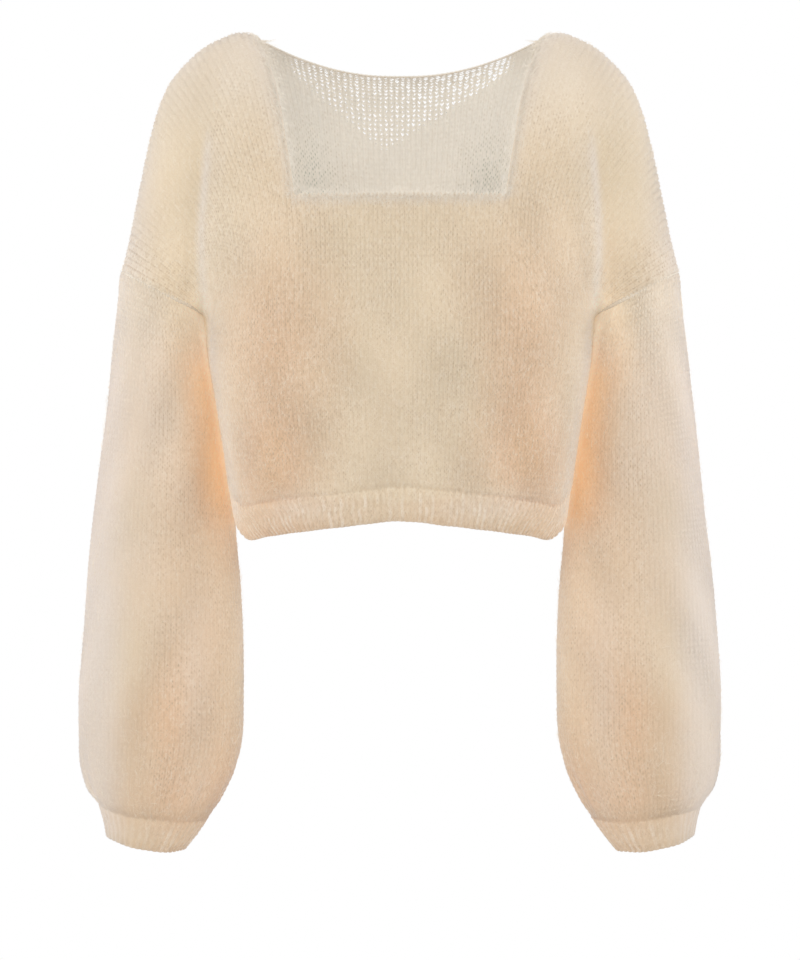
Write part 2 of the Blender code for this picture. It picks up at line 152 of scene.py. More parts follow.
# The sleeve: outer x and z, inner x and z, middle y, half depth and drop of the front, in mm
SLEEVE = np.array([
    (239.5, -203, 167.5, -241, 10, 58, 0),
    (243.0, -233, 160.0, -268, 20, 59, 0),
    (248.0, -268, 153.5, -300, 30, 60, 0),
    (253.0, -310, 149.0, -336, 36, 61, 0),
    (258.5, -355, 145.0, -376, 39, 62, 0),
    (264.0, -407, 142.0, -422, 40, 63, 0),
    (269.5, -457, 137.0, -464, 38, 64, 0),
    (273.5, -507, 134.0, -510, 34, 65, 0),
    (277.0, -560, 133.0, -560, 29, 65, 1),
    (276.5, -598, 134.0, -602, 24, 63, 2),
    (275.0, -624, 141.5, -631, 20, 58, 4),
    (268.5, -645, 153.5, -654, 17, 51, 5),
    (258.5, -660, 164.0, -671, 15, 44, 6),
]) * MM

# The cuff: the same columns, from its seam to its free edge
CUFF = np.array([
    (258.5, -660, 164.0, -671, 15, 44, 6),
    (254.5, -673, 174.0, -685, 14, 38, 6),
    (252.0, -685, 184.0, -697, 13, 33.0, 6),
]) * MM

# Soft troughs along the sleeve: angle from the outer side, spread round the sleeve (both in degrees),
# first and last ring it fades between, and depth in mm
SLEEVE_FOLDS = np.array([
    (62, 20, 5.0, 12.5, 4.0),
    (128, 22, 2.0, 9.0, 3.0),
    (205, 24, 6.0, 12.0, 3.5),
    (262, 20, 3.0, 12.5, 4.0),
    (318, 18, 6.5, 12.5, 3.0),
])

# Soft folds of the body: the share across a half panel at the hem and at the underarm, the spread,
# how far up the panel it reaches, and depth in mm
BODY_FOLDS = np.array([
    (0.20, 0.10, 0.06, 0.65, 1.6),
    (0.47, 0.33, 0.07, 0.85, 2.6),
    (0.72, 0.60, 0.07, 1.10, 3.2),
    (0.93, 0.84, 0.05, 0.70, 2.0),
])

# ---------------------------------------------------------------- the knit

# How far the shell's middle lies inside the solid's face, so that the nap reaches that face
SHELL_INSET = 1.0 * MM

# Wales from the middle to the neck column and to the side edge; courses below and above the underarm
NECK_WALES = 23
HALF_WALES = 63
LOWER_COURSES = 40
FRONT_UPPER_COURSES = 62
BACK_UPPER_COURSES = 54
SLEEVE_WALES = 92
SLEEVE_COURSES = 100
HEM_RIBS = 160
HEM_COURSES = 7
CUFF_RIBS = 42
CUFF_COURSES = 8

# Where the wales lie across a half panel
WALE_PLACES = np.array([
    (0.0, 0.0),
    (NECK_WALES, NECK_COLUMN),
    (HALF_WALES, 1.0),
])

# A stitch: how far its courses zigzag, and the height in mm at furrow, leg, middle and leg, on the
# row along the legs and on the row between them
ZIGZAG = 0.30
STITCH_HEIGHT = np.array([
    (-0.62, 0.34, -0.06, 0.34),
    (-0.85, -0.04, -0.55, -0.04),
]) * MM

# A rib: places across it, its stitch coordinate, and its heights in mm on the two kinds of row
RIB = np.array([
    (0.00, 0.00, -0.18, -0.30),
    (0.13, 0.25, 0.45, 0.18),
    (0.30, 0.50, 0.30, -0.08),
    (0.47, 0.75, 0.45, 0.18),
    (0.60, 1.00, -0.18, -0.30),
    (0.70, 1.25, -0.52, -0.42),
    (0.80, 1.50, -0.58, -0.46),
    (0.90, 1.75, -0.52, -0.42),
])


def through(table, column, x, key=0):
    """The smooth curve through one column of a table: a cubic between rows, with each row's slope."""
    order = np.argsort(table[:, key])
    xs = table[order, key]
    ys = table[order, column]
    slopes = np.gradient(ys, xs)
    low = np.clip(np.searchsorted(xs, x) - 1, 0, len(xs) - 2)
    span = xs[low + 1] - xs[low]
    t = np.clip((x - xs[low]) / span, 0, 1)
    rise = ys[low + 1] - ys[low]
    bend_in = slopes[low] * span - rise
    bend_out = -slopes[low + 1] * span + rise
    return ys[low] + t * rise + t * (1 - t) * ((1 - t) * bend_in + t * bend_out)


def along(points, share):
    """Points at equal shares of a polyline's length, smoothed through its corners."""
    steps = np.linalg.norm(np.diff(points, axis=0), axis=1)
    reach = np.append(0, np.cumsum(steps)) / steps.sum()
    table = np.column_stack([reach, points])
    return np.stack([through(table, 1 + k, share) for k in range(points.shape[1])], axis=-1)


def section_angle(u, squareness):
    """The angle round a body section at which the share u of its quarter length is reached."""
    angles = np.linspace(0, np.pi / 2, 181)
    x = SECTION_ASPECT * np.sin(angles) ** (2 / squareness)
    y = np.cos(angles) ** (2 / squareness)
    steps = np.hypot(np.diff(x), np.diff(y))
    reach = np.append(0, np.cumsum(steps)) / steps.sum()
    return np.interp(u, reach, angles)


def smoothstep(x):
    t = np.clip(x, 0, 1)
    return t * t * (3 - 2 * t)


def bump(x, middle, spread):
    """A bell curve of height 1."""
    return np.exp(-(((x - middle) / spread) ** 2))


def body_section(u, z, front):
    """A point of the body below the underarm: half width and depth from the seam plane."""
    squareness = FRONT_SQUARENESS if front else BACK_SQUARENESS
    angle = section_angle(u, squareness)
    x = through(BODY, 1, z) * np.sin(angle) ** (2 / squareness)
    depth = through(BODY, 2 if front else 3, z) * np.cos(angle) ** (2 / squareness)
    return x, depth


def hem_edge_z(u, front):
    return through(HEM_EDGE, 1 if front else 2, u) * MM


def lower_points(u, v, front):
    """The panel from the hem seam (v = 0) to the underarm (v = 1): body sections one above another."""
    bottom = hem_edge_z(u, front) + HEM_BAND_HEIGHT
    z = bottom + (UNDERARM_Z - bottom) * v
    x, depth = body_section(u, z, front)
    return x, depth, z


def evenly_across(points, share):
    """One row of points, moved along their own polyline to the given shares of its length."""
    steps = np.linalg.norm(np.diff(points, axis=0), axis=1)
    reach = np.append(0, np.cumsum(steps)) / steps.sum()
    return np.stack([np.interp(share, reach, points[:, k]) for k in range(3)], axis=-1)


def upper_points(u, v, front):
    """The upper panel on a grid of rows v and columns u, its columns at even steps beside the neck."""
    beside = np.linspace(NECK_COLUMN, 1, ROW_SAMPLES)
    dense = np.stack(arch_points(*np.meshgrid(beside, v[:, 0]), front), axis=-1)
    plain = np.stack(arch_points(u, v, front), axis=-1)
    share = (u - NECK_COLUMN) / (1 - NECK_COLUMN)
    even = np.stack([evenly_across(row, part) for row, part in zip(dense, share)])
    points = np.where((share > 0)[..., None], even, plain)
    return points[..., 0], points[..., 1], points[..., 2]


def arch_points(u, v, front):
    """The panel from the underarm (v = 0) to the shoulder seam (v = 1).

    Each column of the cloth is an arch that leans out over the arm. Seen from the front, the arches
    fill the patch between the line of the neck, the armhole ring, the underarm level and the
    shoulder seam. Their depth is the larger of the chest's and the upper arm's, blended at the
    crease between them, and closes to nothing at the seam.
    """
    theta = v * np.pi
    s = np.clip((u - NECK_COLUMN) / (1 - NECK_COLUMN), 0, 1)
    round_share = smoothstep(s / HALF_ARCH_FROM)
    rise = (1 - round_share) * np.sin(theta / 2) + round_share * (1 - np.cos(theta)) / 2

    base_x, base_depth = body_section(u, np.full_like(u, UNDERARM_Z), front)
    base = np.stack([base_x, np.full_like(u, UNDERARM_Z)], axis=-1)
    neck_z = UNDERARM_Z + (NECK_SIDE[-1, 0] - UNDERARM_Z) * rise
    neck = np.stack([through(NECK_SIDE, 1, neck_z), neck_z], axis=-1)
    ring = ARMHOLE_BOTTOM + (ARMHOLE_TOP - ARMHOLE_BOTTOM) * rise[..., None]
    seam = along(SHOULDER_SEAM, s)
    s3 = s[..., None]
    r3 = rise[..., None]
    corners = (
        (1 - s3) * (1 - r3) * NECK_SIDE[0, ::-1]
        + (1 - s3) * r3 * NECK_SIDE[-1, ::-1]
        + s3 * (1 - r3) * ARMHOLE_BOTTOM
        + s3 * r3 * ARMHOLE_TOP
    )
    layout = (1 - s3) * neck + s3 * ring + (1 - r3) * base + r3 * seam - corners

    inside = np.clip(u / NECK_COLUMN, 0, 1)
    if front:
        middle_x = neck[..., 0] * inside
        middle_z = neck_z
        open_share = 0 * u
    else:
        top_x, top_z, top_depth = (through(BACK_NECK, k, inside) * MM for k in (1, 2, 3))
        middle_x = base_x + (top_x - base_x) * rise
        edge_x, _ = body_section(np.full_like(u, NECK_COLUMN), np.full_like(u, UNDERARM_Z), front)
        straight = edge_x + (NECK_SIDE[-1, 1] - edge_x) * rise
        middle_x = middle_x + inside**6 * (neck[..., 0] - straight)
        middle_z = UNDERARM_Z + (top_z - UNDERARM_Z) * rise
        open_share = np.where(u < NECK_COLUMN, top_depth / base_depth.clip(MM), 0)
    over_neck = u < NECK_COLUMN
    x = np.where(over_neck, middle_x, layout[..., 0])
    z = np.where(over_neck, middle_z, layout[..., 1])

    squareness = FRONT_SQUARENESS if front else BACK_SQUARENESS
    chest_share = np.clip(x / through(BODY, 1, z), 0, 1)
    chest = through(BODY, 2 if front else 3, z) * (1 - chest_share**squareness) ** (1 / squareness)
    crease = bump(x - through(BODY, 1, z), CREASE_OFFSET, CREASE_SPREAD)
    drawn = CREASE_SHARE * crease * (1 - v) * (1 - s)
    arm = 2 * ARMHOLE_DEPTH * np.sin(theta / 2) * (1 - drawn)
    bulge = (chest**BLEND_POWER + arm**BLEND_POWER) ** (1 / BLEND_POWER)
    closing = open_share + (1 - open_share) * np.cos(theta / 2)
    return x, bulge * closing, z


def body_fold(across, v):
    """How far the body's folds draw its depth in, as a share: troughs that lean in as they rise."""
    drawn = 0 * across
    for at_hem, at_underarm, spread, top, depth in BODY_FOLDS:
        middle = at_hem + (at_underarm - at_hem) * v
        fade = smoothstep((top - v) / top) * smoothstep(0.25 + 2 * v)
        drawn = drawn + depth * MM * fade * bump(across, middle, spread)
    return drawn / FOLD_DEPTH_SCALE


def panel_points(u, v, front):
    """A panel's outer face. u runs from -1 to 1 across, v from 0 at the hem by 1 at the underarm to 2."""
    across = np.abs(u)
    low = lower_points(across, np.clip(v, 0, 1), front)
    high = upper_points(across, np.clip(v - 1, 0, 1), front)
    x, depth, z = (np.where(v <= 1, a, b) for a, b in zip(low, high))
    depth = depth * (1 - body_fold(across, v))
    y = SEAM_PLANE_Y - depth if front else SEAM_PLANE_Y + depth
    return np.stack([np.sign(u) * x, y, z], axis=-1)


def relax(points, share, rounds):
    """Draws every inner point towards the mean of its four neighbours, as cloth rounds off a crease."""
    for _ in range(rounds):
        mean = (points[:-2, 1:-1] + points[2:, 1:-1] + points[1:-1, :-2] + points[1:-1, 2:]) / 4
        points[1:-1, 1:-1] += share[1:-1, 1:-1, None] * (mean - points[1:-1, 1:-1])
    return points


def panel_lines():
    """The columns and rows of a panel's form grid: the solid's own, with three between each pair."""
    inside = np.linspace(0, NECK_COLUMN, 21)
    outside = np.linspace(NECK_COLUMN, 1, 41)
    half = np.concatenate([inside, outside[1:]])
    columns = np.concatenate([-half[:0:-1], half])
    share = neck_row_share()
    below = int(round(share * 12))
    rows = [np.linspace(0, 1, 33), np.linspace(1, 1 + share, 4 * below + 1)[1:]]
    rows.append(np.linspace(1 + share, 2, 4 * (12 - below) + 1)[1:])
    return columns, np.concatenate(rows)


def neck_row_share():
    """The share of the upper rows at which the line of the neck reaches the bottom of the square."""
    rise = (NECK_BOTTOM_Z - UNDERARM_Z) / (NECK_SIDE[-1, 0] - UNDERARM_Z)
    return 2 * np.arcsin(rise) / np.pi


def panel_form(front):
    """A panel's outer face on its form grid, rounded off under the arm as the solid is."""
    columns, rows = panel_lines()
    u, v = np.meshgrid(columns, rows)
    share = smoothstep((np.abs(u) - 0.5) / 0.2) * smoothstep((v - 0.7) / 0.3)
    share *= smoothstep((1.95 - v) / 0.35)
    return relax(panel_points(u, v, front), share, RELAX_ROUNDS)


def ring_points(table, row, angle, side):
    """Points round a sleeve or cuff: an ellipse between its outer and inner points, row by row."""
    places = np.arange(len(table), dtype=float)
    indexed = np.column_stack([places, table])
    outer_x, outer_z, inner_x, inner_z, y, depth, drop = (
        through(indexed, k, row) for k in range(1, 8)
    )
    lean = np.cos(angle)
    x = (outer_x + inner_x) / 2 + (outer_x - inner_x) / 2 * lean
    z = (outer_z + inner_z) / 2 + (outer_z - inner_z) / 2 * lean - drop * np.sin(angle)
    return np.stack([side * x, y - depth * np.sin(angle), z], axis=-1)


def sleeve_fold(row, angle):
    """How deep the sleeve's troughs are at each point: long soft dents, deepest between their ends."""
    dent = 0 * row
    for middle, spread, first, last, depth in SLEEVE_FOLDS:
        across = np.degrees(np.arccos(np.cos(angle - np.radians(middle)))) / spread
        length = np.sin(np.pi * np.clip((row - first) / (last - first), 0, 1)) ** 2
        dent = dent + depth * MM * length * np.exp(-(across**2))
    return dent


def clear_of_body(points, side, clearance):
    """Moves a sleeve's points out to the body's side wherever they would come nearer than clearance."""
    y, z = points[..., 1], points[..., 2]
    depth = SEAM_PLANE_Y - y
    reach = np.where(depth > 0, through(BODY, 2, z), through(BODY, 3, z))
    squareness = np.where(depth > 0, FRONT_SQUARENESS, BACK_SQUARENESS)
    share = np.clip(np.abs(depth) / reach, 0, 1)
    edge = through(BODY, 1, z) * (1 - share**squareness) ** (1 / squareness)
    x = np.maximum(side * points[..., 0], edge + clearance)
    beside = z < UNDERARM_Z + 0.5 * MM
    beside &= z > HEM_EDGE[:, 1:].min() * MM - 20 * MM
    points[..., 0] = np.where(beside, side * x, points[..., 0])
    return points


def grid_normals(points, around):
    """Normals of a grid of points, across by along; around says that its columns close into a ring."""
    if around:
        wide = np.concatenate([points[:, -1:], points, points[:, :1]], axis=1)
        across = (wide[:, 2:] - wide[:, :-2]) / 2
    else:
        across = np.gradient(points, axis=1)
    normals = np.cross(across, np.gradient(points, axis=0))
    return normals / np.linalg.norm(normals, axis=-1, keepdims=True).clip(1e-12)


def sleeve_form(side):
    """A sleeve's outer face on a grid of rings, four for each of the solid's."""
    row, angle = np.meshgrid(
        np.linspace(0, len(SLEEVE) - 1, 73),
        np.linspace(0, 2 * np.pi, 112, endpoint=False),
        indexing="ij",
    )
    plain = ring_points(SLEEVE, row, angle, side)
    inward = -side * grid_normals(plain, True)
    folded = plain + sleeve_fold(row, angle)[..., None] * inward
    beside = bump(np.cos(angle), -1, 0.5) * smoothstep((plain[..., 2] + 450 * MM) / (30 * MM))
    folded = folded - beside[..., None] * SLEEVE_NEARER * inward
    return clear_of_body(folded, side, -SLEEVE_NEARER)


def cubic_weights(t):
    """Weights of the four points round a place, for a smooth curve through them all."""
    return (
        (-t + 2 * t**2 - t**3) / 2,
        (2 - 5 * t**2 + 3 * t**3) / 2,
        (t + 4 * t**2 - 3 * t**3) / 2,
        (-(t**2) + t**3) / 2,
    )


class Form:
    """A smooth sheet through a grid of points, read at any rows and columns between them."""

    def __init__(self, points, around, outward):
        self.points = points
        self.around = around
        self.outward = outward

    def at(self, row, column):
        rows, columns = self.points.shape[:2]
        row = np.clip(row, 0, rows - 1)
        if not self.around:
            column = np.clip(column, 0, columns - 1)
        low_row = np.clip(np.floor(row).astype(int), 0, rows - 2)
        low_column = np.floor(column).astype(int)
        if not self.around:
            low_column = np.clip(low_column, 0, columns - 2)
        row_weights = cubic_weights(row - low_row)
        column_weights = cubic_weights(column - low_column)
        total = 0
        for i in range(4):
            near_row = np.clip(low_row + i - 1, 0, rows - 1)
            line = 0
            for j in range(4):
                near = low_column + j - 1
                near = near % columns if self.around else np.clip(near, 0, columns - 1)
                line = line + column_weights[j][..., None] * self.points[near_row, near]
            total = total + row_weights[i][..., None] * line
        return total

    def frame_at(self, row, column, step=0.3):
        """The point, the outward normal and the unit directions across and along the rows."""
        across = self.at(row, column + step) - self.at(row, column - step)
        onward = self.at(row + step, column) - self.at(row - step, column)
        normal = self.outward * np.cross(across, onward)
        return self.at(row, column), unit(normal), unit(across), unit(onward)


class PanelForm(Form):
    """A panel's form, also read at stitch coordinates: wale from the middle, course from the hem seam.

    Courses lie at even steps of the cloth's own length, measured along the panel's mean column, in
    three stretches: to the underarm, to the foot of the neck square and to the shoulder.
    """

    def __init__(self, front):
        self.columns, self.rows = panel_lines()
        near = smoothstep((0.14 - np.abs(np.abs(self.columns) - NECK_COLUMN)) / 0.06)
        low = smoothstep((1 + (neck_row_share() if front else 0.85) - self.rows) / 0.16)
        eased = relax(panel_form(front), near * low[:, None], 30)
        super().__init__(eased, False, 1 if front else -1)
        upper = FRONT_UPPER_COURSES if front else BACK_UPPER_COURSES
        self.top_course = LOWER_COURSES + upper
        used = np.abs(self.columns) > NECK_COLUMN if front else np.abs(self.columns) < 0.5
        steps = np.linalg.norm(np.diff(self.points, axis=0), axis=2)[:, used].mean(axis=1)
        reach = np.append(0, np.cumsum(steps))
        marks = [0, *np.searchsorted(self.rows, [1 - 1e-6, 1 + neck_row_share() - 1e-6]), len(reach) - 1]
        share = (reach[marks[2]] - reach[marks[1]]) / (reach[-1] - reach[marks[1]])
        self.neck_course = LOWER_COURSES + int(round(upper * share))
        stops = [0, LOWER_COURSES, self.neck_course, self.top_course]
        self.courses = np.interp(reach, reach[marks], stops)

    def place(self, wale, course):
        """Rows and columns of the form grid at stitch coordinates."""
        u = np.sign(wale) * through(WALE_PLACES, 1, np.abs(wale))
        row = np.interp(course, self.courses, np.arange(len(self.rows)))
        return row, np.interp(u, self.columns, np.arange(len(self.columns)))

    def at_stitch(self, wale, course):
        return self.frame_at(*self.place(wale, course))


def unit(vectors):
    return vectors / np.linalg.norm(vectors, axis=-1, keepdims=True).clip(1e-12)


def drift(a, b, seed, turn=None):
    """A smooth uneven field, about -1 to 1: six slanting waves. turn is the length that a closes on."""
    rng = np.random.default_rng(seed)
    total = 0
    for _ in range(6):
        pace = rng.uniform(-0.35, 0.35)
        if turn is not None:
            pace = rng.integers(1, 9) * 2 * np.pi / turn
        total = total + np.sin(a * pace + b * rng.uniform(0.06, 0.35) + rng.uniform(0, 2 * np.pi))
    return total / 6**0.5


# ---------------------------------------------------------------- meshes


def build_mesh(name, points, quads, material, uv=None, values=None, body="root"):
    """A mesh object from an array of points and an array of quads, smooth, with its own coordinates."""
    mesh = bpy.data.meshes.new(name)
    mesh.vertices.add(len(points))
    mesh.vertices.foreach_set("co", points.astype(np.float32).ravel())
    mesh.loops.add(quads.size)
    mesh.loops.foreach_set("vertex_index", quads.astype(np.int32).ravel())
    mesh.polygons.add(len(quads))
    mesh.polygons.foreach_set("loop_start", np.arange(0, quads.size, 4, dtype=np.int32))
    mesh.polygons.foreach_set("use_smooth", np.ones(len(quads), dtype=bool))
    if uv is not None:
        layer = mesh.uv_layers.new(name="stitch")
        layer.uv.foreach_set("vector", uv.astype(np.float32).ravel())
    for key, field in (values or {}).items():
        attribute = mesh.attributes.new(key, "FLOAT", "POINT")
        attribute.data.foreach_set("value", field.astype(np.float32).ravel())
    mesh.update(calc_edges=True)
    mesh.validate()
    mesh.materials.append(material)
    thing = bpy.data.objects.new(name, mesh)
    bpy.context.scene.collection.objects.link(thing)
    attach(thing, body)
    return thing


def grid_mesh(name, points, wale, course, keep, around, flip, material, values):
    """A mesh from a grid of points, whose own coordinates are the stitch coordinates wale and course."""
    rows, columns = points.shape[:2]
    wide = columns if around else columns - 1
    row, column = np.meshgrid(np.arange(rows - 1), np.arange(wide), indexing="ij")
    after = (column + 1) % columns
    corners = [row * columns + column, row * columns + after]
    corners += [(row + 1) * columns + after, (row + 1) * columns + column]
    quads = np.stack(corners, axis=-1)[keep]
    both = np.stack([wale, course], axis=-1)
    places = [both[:-1, :wide], both[:-1, 1:wide + 1], both[1:, 1:wide + 1], both[1:, :wide]]
    uv = np.stack(places, axis=-2)[keep]
    if flip:
        quads = quads[:, ::-1]
        uv = uv[:, ::-1]
    used = np.unique(quads)
    number = np.zeros(rows * columns, dtype=int)
    number[used] = np.arange(len(used))
    fields = {key: field.reshape(-1)[used] for key, field in values.items()}
    return build_mesh(name, points.reshape(-1, 3)[used], number[quads], material, uv, fields)


def stitch_lines(wales, courses, around, seed):
    """The knit grid: wale and course coordinates and the height of every point.

    Columns lie at each furrow, leg, middle and leg. Rows lie two to a course and zigzag, low at the
    middle of a stitch and high at its furrows, so that raised rows follow the legs of the V.
    """
    columns = np.arange(4 * wales + 1)
    rows = np.arange(2 * courses + 1)
    wale, course = np.meshgrid(columns / 4, rows / 2)
    kind = columns % 4
    height = STITCH_HEIGHT[rows % 2][:, kind]
    zigzag = 4 * np.abs(wale % 1 - 0.5) - 1
    ends = np.clip(np.minimum(course, courses - course), 0, 1)
    course = course + ZIGZAG * zigzag * ends
    turn = wales if around else None
    rng = np.random.default_rng(seed)
    tension = rng.normal(0, 1, (courses + 1, wales + 1))
    tension = np.repeat(np.repeat(tension, 2, axis=0)[:len(rows)], 4, axis=1)[:, :len(columns)]
    height = height * (1 + 0.30 * drift(wale, course, seed + 1, turn)) + 0.07 * MM * tension
    if around:
        height[:, -1] = height[:, 0]
    return wale, course, height


def cavity(height):
    """How deep a point lies in the knit: 0 on a leg's crest, 1 at the bottom of a furrow."""
    return np.clip((0.40 * MM - height) / (1.4 * MM), 0, 1)


# ---------------------------------------------------------------- materials


class Value:
    """A number or vector in a material, with the usual arithmetic."""

    def __init__(self, tree, socket):
        self.tree = tree
        self.socket = socket

    def math(self, operation, *others):
        node = self.tree.nodes.new("ShaderNodeMath")
        node.operation = operation
        for place, item in enumerate((self, *others)):
            feed(self.tree, node.inputs[place], item)
        return Value(self.tree, node.outputs[0])

    def __add__(self, other):
        return self.math("ADD", other)

    def __sub__(self, other):
        return self.math("SUBTRACT", other)

    def __mul__(self, other):
        return self.math("MULTIPLY", other)

    def __truediv__(self, other):
        return self.math("DIVIDE", other)

    def __pow__(self, other):
        return self.math("POWER", other)

    def __neg__(self):
        return self.math("MULTIPLY", -1.0)

    def __radd__(self, other):
        return self.math("ADD", other)

    def __rmul__(self, other):
        return self.math("MULTIPLY", other)

    def __rsub__(self, other):
        return (-self).math("ADD", other)

    def clamp(self):
        return self.math("MAXIMUM", 0.0).math("MINIMUM", 1.0)

    def step(self, low, high):
        """0 below low, 1 above high, and a smooth rise between them."""
        t = ((self - low) / (high - low)).clamp()
        return t * t * (3.0 - 2.0 * t)


def feed(tree, socket, item):
    if isinstance(item, Value):
        tree.links.new(item.socket, socket)
    elif hasattr(socket.default_value, "__len__") and hasattr(item, "__len__"):
        socket.default_value = (*item, 1.0)[:len(socket.default_value)]
    else:
        socket.default_value = item


class Paint:
    """A material with one Principled shader."""

    def __init__(self, name):
        self.material = bpy.data.materials.new(name)
        self.material.use_nodes = True
        self.tree = self.material.node_tree
        self.shader = self.tree.nodes["Principled BSDF"]

    def node(self, kind, out=0, settings=None, **inputs):
        """Any node: settings are its properties, inputs its sockets by name, out the output used."""
        node = self.tree.nodes.new(kind)
        for key, value in (settings or {}).items():
            setattr(node, key, value)
        for key, item in inputs.items():
            feed(self.tree, node.inputs[key.replace("_", " ")], item)
        return Value(self.tree, node.outputs[out])

    def attribute(self, name):
        return self.node("ShaderNodeAttribute", "Fac", {"attribute_name": name})

    def stitch(self):
        """The stitch coordinates: wale and course."""
        node = self.tree.nodes.new("ShaderNodeUVMap")
        node.uv_map = "stitch"
        split = self.tree.nodes.new("ShaderNodeSeparateXYZ")
        self.tree.links.new(node.outputs[0], split.inputs[0])
        return Value(self.tree, split.outputs[0]), Value(self.tree, split.outputs[1])

    def vector(self, x, y, z):
        return self.node("ShaderNodeCombineXYZ", X=x, Y=y, Z=z)

    def chances(self, vector):
        """Three even random numbers, the same wherever the vector is the same."""
        colour = self.node("ShaderNodeTexWhiteNoise", "Color", {"noise_dimensions": "3D"}, Vector=vector)
        split = self.tree.nodes.new("ShaderNodeSeparateXYZ")
        self.tree.links.new(colour.socket, split.inputs[0])
        return [Value(self.tree, output) for output in split.outputs]

    def noise(self, vector, scale, detail=2.0, roughness=0.5):
        settings = {"noise_dimensions": "3D"}
        return self.node(
            "ShaderNodeTexNoise", 0, settings,
            Vector=vector, Scale=scale, Detail=detail, Roughness=roughness,
        )

    def object_place(self):
        return self.node("ShaderNodeTexCoord", "Object")

    def mix(self, share, first, second):
        node = self.tree.nodes.new("ShaderNodeMix")
        node.data_type = "RGBA"
        feed(self.tree, node.inputs[0], share)
        feed(self.tree, node.inputs[6], first)
        feed(self.tree, node.inputs[7], second)
        return Value(self.tree, node.outputs[2])

    def set(self, name, item):
        feed(self.tree, self.shader.inputs[name], item)

    def let_light_through(self, share, colour):
        """Mixes in a share of light that passes through the thin cloth from its other side."""
        through_cloth = self.tree.nodes.new("ShaderNodeBsdfTranslucent")
        feed(self.tree, through_cloth.inputs["Color"], colour)
        blend = self.tree.nodes.new("ShaderNodeMixShader")
        blend.inputs[0].default_value = share
        self.tree.links.new(self.shader.outputs[0], blend.inputs[1])
        self.tree.links.new(through_cloth.outputs[0], blend.inputs[2])
        output = self.tree.nodes["Material Output"]
        self.tree.links.new(blend.outputs[0], output.inputs["Surface"])
        return blend


# Colours of the knit: the yarn's cream; a peach painted warm shade; a pale painted highlight; an orange
# painted glow; painted shade for the knit's gaps; painted cool light on the inside of the back and painted
# shade for its gaps; a darker painted shade; the lightness of loose fibres; and painted light given off as
# emission, orange for the glow and pale for the lift.
CREAM = (0.83, 0.715, 0.545)
PEACH_SHADE = (0.825, 0.60, 0.415)
PALE_HIGHLIGHT = (0.855, 0.79, 0.72)
PAINTED_GLOW_COLOUR = (0.93, 0.60, 0.32)
GAP_SHADE = (0.55, 0.42, 0.29)
COOL_INSIDE_LIGHT = (0.825, 0.785, 0.705)
COOL_GAP_SHADE = (0.42, 0.43, 0.36)
DIM_SHADE = (0.56, 0.44, 0.31)
BRIGHT_FIBRE = (0.97, 0.92, 0.83)
GLOW_LIGHT = (0.34, 0.15, 0.045)
LIFT_LIGHT = (0.50, 0.44, 0.34)


